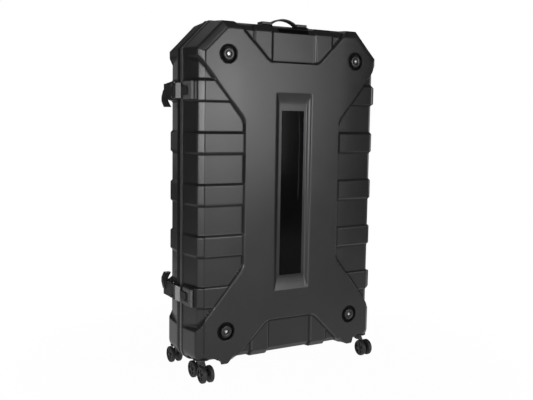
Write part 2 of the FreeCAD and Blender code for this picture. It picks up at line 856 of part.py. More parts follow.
def along_y(label, radius, side, near, far, x, z):
    """Cylinder between two distances from the seam, on the front (minus) or the rear (plus)."""
    start = -far if side < 0 else near
    return rod(label, "Y", radius, far - near, x, start, z)


def post_screws(side, place):
    """Four dished washers and four socket screws on one face."""
    floor = D.half_depth - D.dish_depth
    face = floor + D.washer_thickness
    boss = D.half_depth - D.boss_depth
    washers = []
    screws = []
    for across, end in corners():
        x, z = bolt_place(across, end)
        disc = along_y("disc", D.washer_radius, side, floor, face - D.washer_edge, x, z)
        crown = along_y("crown", D.washer_radius - D.washer_edge, side, face - D.washer_edge, face, x, z)
        bore = along_y("bore", D.bolt_radius + D.fit, side, floor, face, x, z)
        washers.append(cut("washer", fused("washer", [disc, crown]), bore))
        tip = boss + D.gap if side < 0 else boss - D.bolt_grip
        shank = along_y("shank", D.bolt_radius, side, tip, face, x, z)
        top = face + D.bolt_head_height
        head = along_y("head", D.bolt_head_radius, side, face, top, x, z)
        hexagon = doc.addObject("Part::Prism", "Hexagon")
        hexagon.Polygon = 6
        hexagon.Placement.Rotation = TURNS["Y"]
        bind(hexagon, "Circumradius", D.hex_radius)
        bind(hexagon, "Height", D.hex_depth)
        move(hexagon, x, -top if side < 0 else top - D.hex_depth, z)
        screws.append(cut("screw", fused("screw", [shank, head]), hexagon))
    group(f"{place}_post_washers", washers)
    group(f"{place}_post_screws", screws)


def posts():
    """Posts fixed to the rear shell that carry a load on the faces past the contents."""
    boss = D.half_depth - D.boss_depth
    for side, end in corners():
        x, z = bolt_place(side, end)
        tube = rod("tube", "Y", D.post_radius, boss + boss - D.gap, x, D.gap - boss, z)
        bore = rod("bore", "Y", D.bolt_radius + D.fit, boss + boss, x, -boss, z)
        name = f"post_{'upper' if end > 0 else 'lower'}_{'right' if side > 0 else 'left'}"
        node(cut("post", tube, bore), name)


def caster_fork(label, x, y, ways):
    """Swivel fork: hub round the stem and a strut to each axle, between the wheels."""
    body = new_body(label)
    high = WELL_Z - D.mount_thickness - D.gap
    low = high - D.fork_hub_height
    pad(body, "XY_Plane", low, high, circles=[((x, y), D.fork_hub_radius)])
    left = x - D.fork_half_width
    right = x + D.fork_half_width
    for way in ways:
        axle_y = y + D.caster_trail * way
        strut = [(y, low), (y, high), (y + D.fork_hub_radius * way, high),
                 (axle_y + D.fork_eye * way, AXLE_Z), (axle_y - D.fork_eye * way, AXLE_Z),
                 (y + (D.stem_head_radius + D.stem_head_height) * way, low)]
        pad(body, "YZ_Plane", left, right, strut)
        pad(body, "YZ_Plane", left, right, circles=[((axle_y, AXLE_Z), D.fork_eye)])
        pocket(body, "YZ_Plane", left, right, circles=[((axle_y, AXLE_Z), D.axle_radius + D.fit)])
    pocket(body, "XY_Plane", low, high, circles=[((x, y), D.stem_radius + D.fit)])
    node(body, label)


def caster_mount(label, x, y):
    """Round plate against the roof of the wheel well, with the headed stem the fork turns on."""
    plate_low = WELL_Z - D.mount_thickness
    head_high = plate_low - D.gap - D.fork_hub_height - D.gap
    plate = rod("plate", "Z", D.mount_radius, D.mount_thickness, x, y, plate_low)
    stem = rod("stem", "Z", D.stem_radius, plate_low - head_high, x, y, head_high)
    head = rod("head", "Z", D.stem_head_radius, D.stem_head_height, x, y, head_high - D.stem_head_height)
    node(fused("mount", [plate, stem, head]), label)


def caster_axle(x, y):
    """Headed axle through the strut and both wheels."""
    half = D.wheel_inner + D.wheel_width + D.gap
    shaft = rod("shaft", "X", D.axle_radius, half + half, x - half, y, AXLE_Z)
    left = rod("head", "X", D.axle_head_radius, D.axle_head_height, x - half - D.axle_head_height, y, AXLE_Z)
    right = rod("head", "X", D.axle_head_radius, D.axle_head_height, x + half, y, AXLE_Z)
    return fused("axle", [shaft, left, right])


def wheel(label, side, x, y):
    """Dished wheel with round tread edges and spokes left between pockets."""
    body = new_body(label)
    bore = D.axle_radius + D.fit
    width = D.wheel_width
    floor = width - D.wheel_dish_depth
    rim = D.wheel_radius - D.wheel_edge
    profile = [
        (ZERO, bore), (width, bore), (width, D.wheel_hub_radius), (floor, D.wheel_hub_radius),
        (floor, D.wheel_dish_radius), (width, D.wheel_dish_radius), (width, rim, D.wheel_edge),
        (width - D.wheel_edge, D.wheel_radius), (D.wheel_edge, D.wheel_radius, D.wheel_edge), (ZERO, rim),
    ]
    section = sketch_on(body, "XY_Plane", ZERO, profile)
    turned = body.newObject("PartDesign::Revolution", "Revolution")
    turned.Profile = section
    turned.ReferenceAxis = (section, ["H_Axis"])
    turned.Angle = 360
    opening = pocket(body, "YZ_Plane", floor - D.spoke_depth, floor,
                     box_points(-D.spoke_half, D.spoke_half, D.spoke_inner, D.spoke_outer))
    doc.recompute()
    spokes = body.newObject("PartDesign::PolarPattern", "Spokes")
    spokes.Originals = [opening]
    spokes.Axis = (plane_of(body, "X_Axis"), [""])
    spokes.Angle = 360
    spokes.Occurrences = SPOKES
    body.Tip = spokes
    if side < 0:
        body.Placement.Rotation = FreeCAD.Rotation(FreeCAD.Vector(0, 0, 1), 180)
    move(body, x + D.wheel_inner * side, y, AXLE_Z)
    node(body, label)


def casters():
    """Twin-wheel casters; the front left one has a second pair of wheels behind its stem."""
    for depth, across, name in ((-1, -1, "front_left"), (-1, 1, "front_right"),
                                (1, -1, "rear_left"), (1, 1, "rear_right")):
        x = CASTER_X * across
        y = D.caster_y * depth
        ways = {"outer": depth, "inner": -depth} if name == "front_left" else {"outer": depth}
        caster_mount(f"caster_{name}_mount", x, y)
        caster_fork(f"caster_{name}_fork", x, y, ways.values())
        axles = []
        for pair, way in ways.items():
            axle_y = y + D.caster_trail * way
            axles.append(caster_axle(x, axle_y))
            for side, hand in ((-1, "left"), (1, "right")):
                wheel(f"caster_{name}_{pair}_wheel_{hand}", side, x, axle_y)
        group(f"caster_{name}_axles", axles)


def write_parts():
    """Check every object and write each sub-part to its own file."""
    doc.recompute()
    for item in doc.Objects:
        if "Invalid" in item.State or "Error" in item.State:
            raise RuntimeError(f"{item.Label} failed: {item.State}")
    for item in NODES:
        if item.Shape.isNull() or not item.Shape.isValid() or not item.Shape.Solids:
            raise RuntimeError(f"{item.Label} has no valid solid")
    os.makedirs("parts", exist_ok=True)
    for item in NODES:
        item.Shape.exportStep(f"parts/{item.Label}.step")


shells()
plates()
rims()
handle()
latches()
hinges()
posts()
post_screws(-1, "front")
post_screws(1, "rear")
casters()
write_parts()
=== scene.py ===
import json
import math
from functools import partial

import bmesh
import bpy
import numpy as np
from mathutils import Matrix, Vector


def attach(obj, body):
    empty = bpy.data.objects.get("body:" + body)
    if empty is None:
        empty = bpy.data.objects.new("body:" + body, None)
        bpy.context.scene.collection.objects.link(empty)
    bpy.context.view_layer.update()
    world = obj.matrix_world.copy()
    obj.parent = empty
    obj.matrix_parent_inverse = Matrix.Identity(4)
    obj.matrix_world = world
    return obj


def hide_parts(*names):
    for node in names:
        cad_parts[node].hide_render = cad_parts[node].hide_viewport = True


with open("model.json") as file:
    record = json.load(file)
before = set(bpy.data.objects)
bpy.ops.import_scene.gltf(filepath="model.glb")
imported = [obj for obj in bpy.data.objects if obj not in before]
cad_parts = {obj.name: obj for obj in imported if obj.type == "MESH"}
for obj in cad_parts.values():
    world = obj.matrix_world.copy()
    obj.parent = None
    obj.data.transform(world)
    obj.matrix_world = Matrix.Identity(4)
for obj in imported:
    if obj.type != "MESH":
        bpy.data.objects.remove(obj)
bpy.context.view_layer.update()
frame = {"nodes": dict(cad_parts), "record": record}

bl_info = {
    "name": "Travel Case Dresser",
    "version": (1, 0, 0),
    "blender": (4, 5, 0),
    "location": "3D View > Sidebar > Case",
    "description": "Moulded skins, hardware and finishes for a hard travel case on casters",
    "category": "Object",
}

MM = 0.001
TURN = 2.0 * math.pi
MITRE = math.sqrt(2.0) - 1.0
SEGMENTS = 64
EDGE_SOFT = 1.5

# half shell, in millimetres, measured from the middle of the face; the seam is at depth zero
HALF_WIDTH = 382.0
HALF_HEIGHT = 599.0
HALF_DEPTH = 138.0
CENTRE_Z = 653.0
CORNER_CUT = 100.0
FOOT_RADIUS = 46.0
WALL = 4.0
RIM_DEPTH = 20.0
FADE_AT_RIM = 0.12

# sloped strip round the face, and the flat face inside it
DRAFT = 7.0
STRIP_INSET = 24.0
STRIP_DEPTH = 19.0
STRIP_ROUND = 14.0
FACE_INSET = 38.0
FACE_SIDE = HALF_WIDTH - FACE_INSET
FACE_TOP = HALF_HEIGHT - FACE_INSET
FACE_CUT_Z = HALF_HEIGHT - CORNER_CUT - FACE_INSET * MITRE
FACE_ARC = FOOT_RADIUS - FACE_INSET
CROWN = 5.0
CROWN_START = 200.0

# edge stretches that keep square to the outline, before they fan out to the mitres of the cut corners
SQUARE_Z = 430.0
SQUARE_X = 200.0

# pockets and notches that leave the raised panel, and the bands across them
POCKET = 11.0
BAND_DROP = 4.0
WAIST = 200.0
KINK = 258.0
LIMB_SLOPE = 1.2
NOTCH_X = 102.0
NOTCH_Z = 462.0
PANEL_BLEND = 12.0
BAND_HALF = 36.0
BAND_PITCH = 178.0
BANDS_EACH_WAY = 2
NOTCH_BAND_X = 127.0

# recess of the front face
RECESS_HALF_X = 73.0
RECESS_HALF_Z = 355.0
RECESS_DEPTH = 10.0
RECESS_SLOPE = 12.0
RECESS_RAMP = 52.0
RECESS_FLOOR_X = RECESS_HALF_X - RECESS_SLOPE
RAMP_LINES = 15
TOP_HOLLOW = 2.3
BOTTOM_HOLLOW = 1.4

# dishes of the screws, with the cups and pads turned round them as rows of (radius, height)
BOLT_X = 266.0
BOLT_Z = 480.0
DISH_RADIUS = 31.0
DISH_DEPTH = 8.0
DISH_UNDER = 1.0
BOSS_RADIUS = 36.0
BOSS_LEVEL = 112.0
CUP_OVER_FLOOR = ((4.3, -0.2), (25.0, -0.2), (27.2, 0.6), (28.2, 2.2))
CUP_OVER_FACE = ((28.8, -2.2), (29.4, -0.7), (30.6, 0.4), (31.8, 0.6), (32.9, 0.3), (33.5, -0.6),
                 (33.6, -4.0))
PAD_PROUD = 3.0
PAD_BORE = (9.2, 3.8)
PAD_OVER_TOP = ((9.2, -0.8), (10.0, 0.0), (18.4, 0.0), (19.8, -0.7), (20.6, -2.6))
PAD_FOOT = (21.0, -0.4)

# seats of the latches and hinges on the sides and of the handle on the top, and the flats over the casters
SEAT_Z = 356.0
SEAT_HALF = 33.0
SEAT_FRONT = 112.0
SEAT_FRONT_SOFT = 3.0
SEAT_OUT = 2.0
HANDLE_INNER = 52.0
HANDLE_OUTER = 99.0
HANDLE_DEPTH = 45.0
HANDLE_HALF = 23.0
FOOT_INNER = 246.0
FOOT_INNER_SOFT = 16.0
FOOT_OUTER = 306.0
FOOT_OUTER_SOFT = 6.0
FOOT_INSET = 1.0
FOOT_BACK = 30.0
FOOT_ROUND = 3.0
WELL_X = 343.0
WELL_Y = 97.0
WELL_RADIUS = 69.0
WELL_ROOF = 77.0

# painted shade at the feet of steps and in creases, painted highlights on the lips of steps, and a darker
# band on the lower ramp of the recess
UNSHADED_X = 20.0
UNSHADED_SOFT = 10.0
HIGHLIGHT_FADE = 160.0
RECESS_HIGHLIGHT_WIDTH = 2.0
RECESS_HIGHLIGHT_SHARE = 0.5
RECESS_HIGHLIGHT_SOFT = 4.0
RAMP_DARK_SHARE = 0.45
RAMP_DARK_UP = 40.0
RAMP_DARK_WIDTH = 22.0
RAMP_DARK_SOFT = 3.0
STRIP_SHADE_SHARE = 0.6
STRIP_SHADE_WIDTH = 2.5
SEAT_SHADE_WIDTH = 4.0
RIM_SHADE_SHARE = 0.3

# finger tab of a latch lever: heights are over its tip, and the moves are towards the shell
TAB_FRONT = 91.5
TAB_OUTER = 397.5
TAB_FREE = 25.5
TAB_SWELL_LOW = 20.0
TAB_SWELL_HIGH = 36.0
TAB_TOP = 56.0
TAB_OUTER_MOVE = 9.0
TAB_TOP_MOVE = 6.0
TAB_INNER_MOVE = 14.0
TAB_ROOT_MOVE = 3.0

# hardware copies: points closer than this are one, and edges sharper than this are rounded
MERGE = 0.00001
FLAT = math.radians(1.0)
SHARP = math.radians(35.0)
PLATE_EDGE = 0.0006

# stage, in metres: each lamp's place, target, size and share of the key power, and the photograph's camera
FLOOR_RINGS = (0.0, 2.0, 6.0, 14.0)
LAMPS = {
    "key": ((1.0, -3.4, 1.15), (0.0, 0.0, 0.75), (1.7, 1.3), 0.98),
    "edge": ((-2.52, -2.27, 1.05), (0.0, 0.0, 0.75), (0.8, 0.8), 0.9),
    "high": ((-1.3, -2.15, 3.45), (-0.2, 0.0, 0.9), (0.8, 0.8), 0.25),
    "rear": ((0.4, 2.4, 3.6), (0.0, 0.0, 0.7), (2.0, 2.0), 0.1),
    "back": ((0.75, 2.0, 0.5), (0.1, 0.0, 0.5), (1.1, 0.9), 0.14),
    "right": ((3.4, 0.75, 0.85), (0.0, 0.1, 0.65), (1.6, 1.0), 0.09),
    "left": ((-3.4, 0.9, 0.85), (0.0, 0.1, 0.65), (0.9, 0.7), 0.06),
}
CAMERA_PLACE = (-1.4795, -2.4528, 0.9158)
CAMERA_YAW = math.radians(30.60)
CAMERA_PITCH = math.radians(-6.06)
CAMERA_ROLL = math.radians(0.87)
SENSOR_WIDTH = 36.0
WHITE = (1.0, 1.0, 1.0, 1.0)


def soft_step(distance, half):
    """0 below -half, 1 above +half and 3q^2 - 2q^3 between, with q the share of the way."""
    q = np.clip(0.5 + distance / (2.0 * half), 0.0, 1.0)
    return q * q * (3.0 - 2.0 * q)


def soft_min(a, b, width):
    """Smaller of two values, with a parabola of that width where they cross."""
    h = np.clip(0.5 + 0.5 * (b - a) / width, 0.0, 1.0)
    return b + (a - b) * h - width * h * (1.0 - h)


def soft_max(a, b, width):
    """Greater of two values, with the same parabola."""
    return -soft_min(-a, -b, width)


def bell(distance, width):
    """exp(-(d / w)^2): a soft line of that width."""
    return np.exp(-(distance / width) ** 2)


def between(stops, spacing):
    """Grid lines through the sorted stops, with even steps of at most the spacing between them."""
    stops = np.unique(np.round(np.asarray(stops, float), 6))
    pieces = [np.linspace(a, b, max(1, math.ceil((b - a) / spacing)) + 1)[:-1]
              for a, b in zip(stops[:-1], stops[1:])]
    return np.concatenate(pieces + [stops[-1:]])


def rounded_path(corners, radii, steps, arc_steps):
    """Open polyline whose inner corners are arcs: the tangent length is radius * tan(half the turn)."""
    corners = np.asarray(corners, float)
    rows = [corners[:1]]
    start = corners[0]
    for before, end, beyond, radius, count in zip(corners, corners[1:], corners[2:], radii, steps):
        ahead = (end - before) / np.linalg.norm(end - before)
        after = (beyond - end) / np.linalg.norm(beyond - end)
        turn = math.acos(np.clip(ahead @ after, -1.0, 1.0))
        reach = radius * math.tan(turn / 2.0)
        first, last = end - ahead * reach, end + after * reach
        rows.append(start + (first - start) * np.linspace(0, 1, count + 1)[1:, None])
        normal = np.array([-ahead[1], ahead[0]])
        normal = normal * np.sign(normal @ (after - ahead))
        centre = first + normal * radius
        angle = np.linspace(0, 1, arc_steps + 1)[1:, None] * turn
        rows.append(centre - normal * radius * np.cos(angle) + ahead * radius * np.sin(angle))
        start = last
    rows.append(start + (corners[-1] - start) * np.linspace(0, 1, steps[-1] + 1)[1:, None])
    return np.concatenate(rows)


def moulded_distances(x, z):
    """Distance inside the pockets or notches of the face, and distance inside the bands that cross them.

    The pockets are where the point is outside the waist and below the limb line, and the notches where it is
    past the notch line.
    """
    x, z = np.abs(x), np.abs(z)
    limb = (LIMB_SLOPE * (x - WAIST) - (z - KINK)) / math.hypot(LIMB_SLOPE, 1.0)
    pocket = soft_min(x - WAIST, limb, PANEL_BLEND)
    notch = soft_min(z - NOTCH_Z, ((z - NOTCH_Z) - (x - NOTCH_X)) / math.sqrt(2.0), PANEL_BLEND)
    step = np.clip(np.round(z / BAND_PITCH), 0, BANDS_EACH_WAY) * BAND_PITCH
    band = BAND_HALF - np.abs(z - step)
    notch_band = BAND_HALF - np.abs(x - NOTCH_BAND_X)
    return np.maximum(pocket, notch), np.where(notch > pocket, notch_band, band)


def moulded_drop(x, z, soft):
    """How far the face lies below the raised panel: S(d) * (pocket - rise * S(band distance))."""
    inside, band = moulded_distances(x, z)
    return soft_step(inside, soft) * (POCKET - (POCKET - BAND_DROP) * soft_step(band, soft))


def painted_step_shade(x, z, soft):
    """Painted shade at the foot of each step: exp(-((d - soft / 2) / soft)^2) for the distance d past its
    middle.

    The band on the right of the upper notch is left without painted shade.
    """
    inside, band = moulded_distances(x, z)
    foot = bell(inside - 0.5 * soft, soft)
    ledge = bell(band + 0.5 * soft, soft) * soft_step(inside, soft)
    # the band right of the upper notch gets no painted shade at its edges
    unshaded = soft_step(x - UNSHADED_X, UNSHADED_SOFT) * soft_step(z - NOTCH_Z, UNSHADED_SOFT)
    return np.maximum(foot, ledge * (1.0 - unshaded))


def painted_lip_highlight(x, z, soft, recessed):
    """Painted highlight line on the lip of each step, exp(-((d + soft / 2) / (soft / 2))^2), stronger
    towards the foot.

    The right slope of the recess has such a line at its top and at its bottom.
    """
    inside, band = moulded_distances(x, z)
    lip = bell(inside + 0.5 * soft, 0.5 * soft)
    lip = np.maximum(lip, bell(band - 0.5 * soft, 0.5 * soft) * soft_step(inside, soft))
    if recessed:
        # painted highlight lines at the top and the bottom of the recess's right slope
        slope = bell(RECESS_HALF_X - x, RECESS_HIGHLIGHT_WIDTH) + bell(RECESS_FLOOR_X - x, RECESS_HIGHLIGHT_WIDTH)
        slope = slope * soft_step(RECESS_HALF_Z - RECESS_HIGHLIGHT_SOFT - np.abs(z), RECESS_HIGHLIGHT_SOFT)
        lip = np.maximum(lip, slope * RECESS_HIGHLIGHT_SHARE)
    return lip * soft_step(-z, HIGHLIGHT_FADE)


def recess_ramp_dark(x, z):
    """Darker band on the lower ramp of the recess: a bell over the height above its lower end."""
    floor = soft_step(RECESS_FLOOR_X - np.abs(x), RAMP_DARK_SOFT)
    return RAMP_DARK_SHARE * bell(RECESS_HALF_Z + z - RAMP_DARK_UP, RAMP_DARK_WIDTH) * floor


def crown_drop(x):
    """Fall of the face towards its sides: CROWN * ((|x| - start) / (edge - start))^2."""
    run = (np.abs(x) - CROWN_START) / (FACE_SIDE - CROWN_START)
    return CROWN * np.clip(run, 0.0, 1.0) ** 2


def recess_drop(x, z):
    """Tapered recess: depth times the lesser of the ways in from its sides and from its ends.

    The sides slope evenly; each end is a hollow ramp, 1 - (1 - t)^n, with n greater at the top.
    """
    side = (RECESS_HALF_X - np.abs(x)) / RECESS_SLOPE
    side = soft_max(soft_min(side, np.ones_like(side), 0.25), np.zeros_like(side), 0.25)
    left = 1.0 - np.clip((RECESS_HALF_Z - np.abs(z)) / RECESS_RAMP, 0.0, 1.0)
    end = 1.0 - left ** np.where(z > 0.0, TOP_HOLLOW, BOTTOM_HOLLOW)
    return RECESS_DEPTH * soft_min(side, end, 0.06).clip(0.0)


def dish_drop(x, z):
    """Round dish at each of the four screws, from the distance to the nearest one."""
    away = np.hypot(np.abs(x) - BOLT_X, np.abs(z) - BOLT_Z)
    return (DISH_DEPTH + DISH_UNDER) * soft_step(DISH_RADIUS - EDGE_SOFT - away, EDGE_SOFT)


def face_half_width(z):
    """Half width of the flat face at a height: cut corners above, round corners below."""
    into = np.clip((-z - (HALF_HEIGHT - FOOT_RADIUS)) / FACE_ARC, 0.0, 1.0)
    return FACE_SIDE - np.maximum(z - FACE_CUT_Z, 0.0) - FACE_ARC * (1.0 - np.sqrt(1.0 - into * into))


def fanned(value, hold, near, far):
    """The value as it is up to hold, and from there stretched so that near lands on far."""
    return np.where(value > hold, hold + (value - hold) * (far - hold) / (near - hold), value)


def outline_rays(x, z):
    """Points of the outer outline and inset vectors for points on the face's edge: p(e) = a + e * b.

    Sides move square to themselves, the ends of the cut corners move along their mitres and the round
    corners move along their radii.
    """
    cut_z, cut_x = HALF_HEIGHT - CORNER_CUT, HALF_WIDTH - CORNER_CUT
    near_x = cut_x - FACE_INSET * MITRE
    turn_x, turn_z = HALF_WIDTH - FOOT_RADIUS, FOOT_RADIUS - HALF_HEIGHT
    sign, across = np.sign(x), np.abs(x)
    floor = z <= -FACE_TOP + 1e-6
    top = z >= FACE_TOP - 1e-6
    upright = (across > FACE_SIDE - 1e-6) & (z <= FACE_CUT_Z)
    slant = (z > FACE_CUT_Z) & ~top
    arc = (z < turn_z) & ~floor
    share = np.clip((z - FACE_CUT_Z) / (FACE_TOP - FACE_CUT_Z), 0.0, 1.0)
    scale = FOOT_RADIUS / FACE_ARC
    out_x = np.where(upright, HALF_WIDTH, across)
    out_x = np.where(slant, HALF_WIDTH + (cut_x - HALF_WIDTH) * share, out_x)
    out_x = np.where(top, fanned(across, SQUARE_X, near_x, cut_x), out_x)
    out_x = np.where(arc, turn_x + (across - turn_x) * scale, out_x)
    out_z = np.where(upright, fanned(z, SQUARE_Z, FACE_CUT_Z, cut_z), z)
    out_z = np.where(slant, cut_z + (HALF_HEIGHT - cut_z) * share, out_z)
    out_z = np.where(top, HALF_HEIGHT, out_z)
    out_z = np.where(floor, -HALF_HEIGHT, out_z)
    out_z = np.where(arc, turn_z + (z - turn_z) * scale, out_z)
    start = np.stack([out_x * sign, out_z], axis=-1)
    return start, (np.stack([x, z], axis=-1) - start) / FACE_INSET


def wall_sections():
    """Section from the face to the rim as rows of (inset, depth), its inward normals, and a foot's section.

    A foot's section is squarer, and has as many rows, evenly spaced along its length.
    """
    strip = [(FACE_INSET, -HALF_DEPTH), (STRIP_INSET + DRAFT, -HALF_DEPTH),
             (DRAFT, STRIP_DEPTH - HALF_DEPTH), (0.0, -RIM_DEPTH)]
    rows = rounded_path(strip, (STRIP_ROUND, STRIP_ROUND), (1, 3, 11), 5)
    run = np.gradient(rows, axis=0)
    run /= np.linalg.norm(run, axis=1, keepdims=True)
    inward = np.stack([run[:, 1], -run[:, 0]], axis=1)
    square = [(FACE_INSET, -HALF_DEPTH), (FOOT_INSET, -HALF_DEPTH),
              (FOOT_INSET, FOOT_BACK - HALF_DEPTH), (0.0, -RIM_DEPTH)]
    path = rounded_path(square, (FOOT_ROUND, FOOT_ROUND), (4, 4, 8), 4)
    length = np.concatenate([[0.0], np.cumsum(np.linalg.norm(np.diff(path, axis=0), axis=1))])
    even = np.linspace(0.0, length[-1], len(rows))
    return rows, inward, np.stack([np.interp(even, length, path[:, k]) for k in (0, 1)], axis=1)


def shell_wall(edge, soft, skin, recessed):
    """Rows of points of the strip and wall round the face's edge, with the painted shade on them.

    The section is carried round the edge, p = a + e * b, and moved inward along its normals by the moulded
    drop and the skin; the seats and feet then pull it to their own levels.
    """
    start, inset = outline_rays(edge[:, 0], edge[:, 2])
    section, inward, foot = wall_sections()
    at_x = start[None, :, 0] + section[:, None, 0] * inset[None, :, 0]
    at_z = start[None, :, 1] + section[:, None, 0] * inset[None, :, 1]
    depth = -section[:, None, 1]
    fade = np.clip((depth - RIM_DEPTH) / (HALF_DEPTH - STRIP_DEPTH - RIM_DEPTH), 0.0, 1.0)
    push = moulded_drop(at_x, at_z, soft) * (FADE_AT_RIM + (1.0 - FADE_AT_RIM) * fade) + skin
    fall = crown_drop(at_x) * fade
    e = section[:, None, 0] + push * inward[:, None, 0]
    y = section[:, None, 1] + push * inward[:, None, 1] + fall
    on_side = np.abs(start[None, :, 0]) > HALF_WIDTH - 0.5
    from_seat = np.abs(np.abs(at_z) - SEAT_Z)
    seat = soft_step(SEAT_HALF - from_seat, EDGE_SOFT) * soft_step(SEAT_FRONT - depth, SEAT_FRONT_SOFT)
    e = np.where(on_side, e + (skin - SEAT_OUT - e) * seat, e)
    if recessed:
        on_top = start[None, :, 1] > HALF_HEIGHT - 0.5
        pad = soft_step(HANDLE_HALF - np.abs(depth - HANDLE_DEPTH), EDGE_SOFT)
        pad = pad * soft_step(np.abs(at_x) - HANDLE_INNER, EDGE_SOFT)
        pad = pad * soft_step(HANDLE_OUTER - np.abs(at_x), EDGE_SOFT)
        e = np.where(on_top, e + (skin - e) * pad, e)
    flat = soft_step(np.abs(at_x) - FOOT_INNER, FOOT_INNER_SOFT) * (start[None, :, 1] < 1.0 - HALF_HEIGHT)
    flat = flat * soft_step(FOOT_OUTER - np.abs(at_x), FOOT_OUTER_SOFT)
    e = e + (foot[:, None, 0] + skin - e) * flat
    y = y + (foot[:, None, 1] + fall + skin - y) * flat
    place = start[None] + e[..., None] * inset[None]
    wall = np.stack([place[..., 0], y, place[..., 1]], axis=-1)[1:]
    # painted shade: dark lines along the bend between strip and face, and across the front end of each seat,
    # on the sides only
    strip_shade_line = STRIP_SHADE_SHARE * bell(section[:, None, 0] - STRIP_INSET - DRAFT - 1.0, STRIP_SHADE_WIDTH)
    seat_shade_line = bell(depth - SEAT_FRONT, SEAT_SHADE_WIDTH) * soft_step(SEAT_HALF + 1.0 - from_seat, EDGE_SOFT)
    line = (np.maximum(strip_shade_line, seat_shade_line) * on_side)[1:]
    # painted crease shade on the wall, weaker towards the rim
    crease_shade = (RIM_SHADE_SHARE + (1.0 - RIM_SHADE_SHARE) * fade)[1:]
    if skin == 0.0:
        tuck = wall[-1:].copy()
        tuck[..., ::2] += inset[None] * WALL
        wall = np.concatenate([wall, tuck])
        line, crease_shade = (np.concatenate([rows, rows[-1:]]) for rows in (line, crease_shade))
    return wall, np.maximum(painted_step_shade(wall[..., 0], wall[..., 2], soft) * crease_shade, line)


def face_lines(spacing, soft):
    """Grid lines of the face: shares of its half width, and heights, closer along steps, ramps and bends."""
    sides = [WAIST, NOTCH_BAND_X - BAND_HALF, NOTCH_BAND_X + BAND_HALF, RECESS_HALF_X, RECESS_FLOOR_X]
    ends = [k * BAND_PITCH + s * BAND_HALF for k in range(BANDS_EACH_WAY + 1) for s in (-1, 1)] + [NOTCH_Z]
    near_x = np.concatenate([[v - soft, v, v + soft] for v in sides])
    near_z = np.concatenate([[v - soft, v, v + soft] for v in ends])
    ramp = RECESS_HALF_Z - RECESS_RAMP * np.linspace(0.0, 1.0, RAMP_LINES)
    near_z = np.concatenate([near_z[near_z > 0.0], ramp])
    bend = -(HALF_HEIGHT - FOOT_RADIUS) - FACE_ARC * np.sin(np.linspace(0.5 * math.pi, 0.0, 11))
    across = between(np.concatenate([-near_x, near_x, [-FACE_SIDE, 0.0, FACE_SIDE]]), spacing)
    heights = between(np.concatenate([-near_z, near_z, bend, [FACE_CUT_Z, FACE_TOP]]), spacing)
    return across / FACE_SIDE, heights


def ring_quads(number):
    """Quads between each closed row of numbered points and the next row."""
    following = np.roll(number, -1, axis=1)
    return np.stack([number[:-1], number[1:], following[1:], following[:-1]], axis=-1).reshape(-1, 4)


def half_shell(spacing, soft, skin, recessed):
    """Vertices, quads and marks of one half shell, for the front half.

    The face is a grid squeezed row by row into the outline, at y = -depth + drop + crown + skin, and the
    wall's rows go on from its edge.
    """
    shares, heights = face_lines(spacing, soft)
    z = np.repeat(heights[:, None], len(shares), axis=1)
    x = shares[None, :] * face_half_width(heights)[:, None]
    drop = moulded_drop(x, z, soft) + dish_drop(x, z)
    # painted shade at the feet of steps; the recess adds a darker band on its lower ramp
    step_shade_and_ramp_dark = painted_step_shade(x, z, soft)
    if recessed:
        drop = np.maximum(drop, recess_drop(x, z))
        step_shade_and_ramp_dark = np.maximum(step_shade_and_ramp_dark, recess_ramp_dark(x, z))
    face = np.stack([x, -HALF_DEPTH + drop + crown_drop(x) + skin, z], axis=-1).reshape(-1, 3)
    number = np.arange(x.size).reshape(x.shape)
    rim = np.concatenate([number[0, :-1], number[:-1, -1], number[-1, :0:-1], number[:0:-1, 0]])
    wall, wall_shade = shell_wall(face[rim], soft, skin, recessed)
    # point marks: painted shade in creases and at step feet, and painted highlights on step lips
    marks = {"crease_shade": np.concatenate([step_shade_and_ramp_dark.ravel(), wall_shade.ravel()]),
             "lip_highlight": np.concatenate([painted_lip_highlight(x, z, soft, recessed).ravel(), np.zeros(wall_shade.size)])}
    points = np.concatenate([face, wall.reshape(-1, 3)])
    points[:, 2] += CENTRE_Z
    ring = number.size + np.arange(wall_shade.size).reshape(wall_shade.shape)
    ring = np.concatenate([rim[None], ring])
    cells = np.stack([number[:-1, :-1], number[:-1, 1:], number[1:, 1:], number[1:, :-1]], axis=-1)
    return points, np.concatenate([cells.reshape(-1, 4), ring_quads(ring)]), marks


def carve_wells(points, grow):
    """Raise what lies inside the upright cylinder of a wheel well to the roof of the well."""
    away = np.hypot(np.abs(points[:, 0]) - WELL_X, np.abs(points[:, 1]) - WELL_Y)
    roof = WELL_ROOF + grow
    points[:, 2] = np.where((away < WELL_RADIUS + grow) & (points[:, 2] < roof), roof, points[:, 2])
    return points


def raise_bosses(points):
    """Bring the inside of the face up to the boss level round each screw."""
    away = np.hypot(np.abs(points[:, 0]) - BOLT_X, np.abs(points[:, 2] - CENTRE_Z) - BOLT_Z)
    points[:, 1] = np.where((away < BOSS_RADIUS) & (points[:, 1] < -BOSS_LEVEL), -BOSS_LEVEL, points[:, 1])
    return points


def new_mesh(name, points, faces, sharp=None):
    """Mesh object from millimetre points and equal-sided faces."""
    mesh = bpy.data.meshes.new(name)
    mesh.from_pydata((np.asarray(points) * MM).tolist(), [], np.asarray(faces).tolist())
    mesh.polygons.foreach_set("use_smooth", np.ones(len(mesh.polygons), bool))
    if sharp:
        mesh.set_sharp_from_angle(angle=math.radians(sharp))
    mesh.update()
    item = bpy.data.objects.new(name, mesh)
    bpy.context.scene.collection.objects.link(item)
    return item


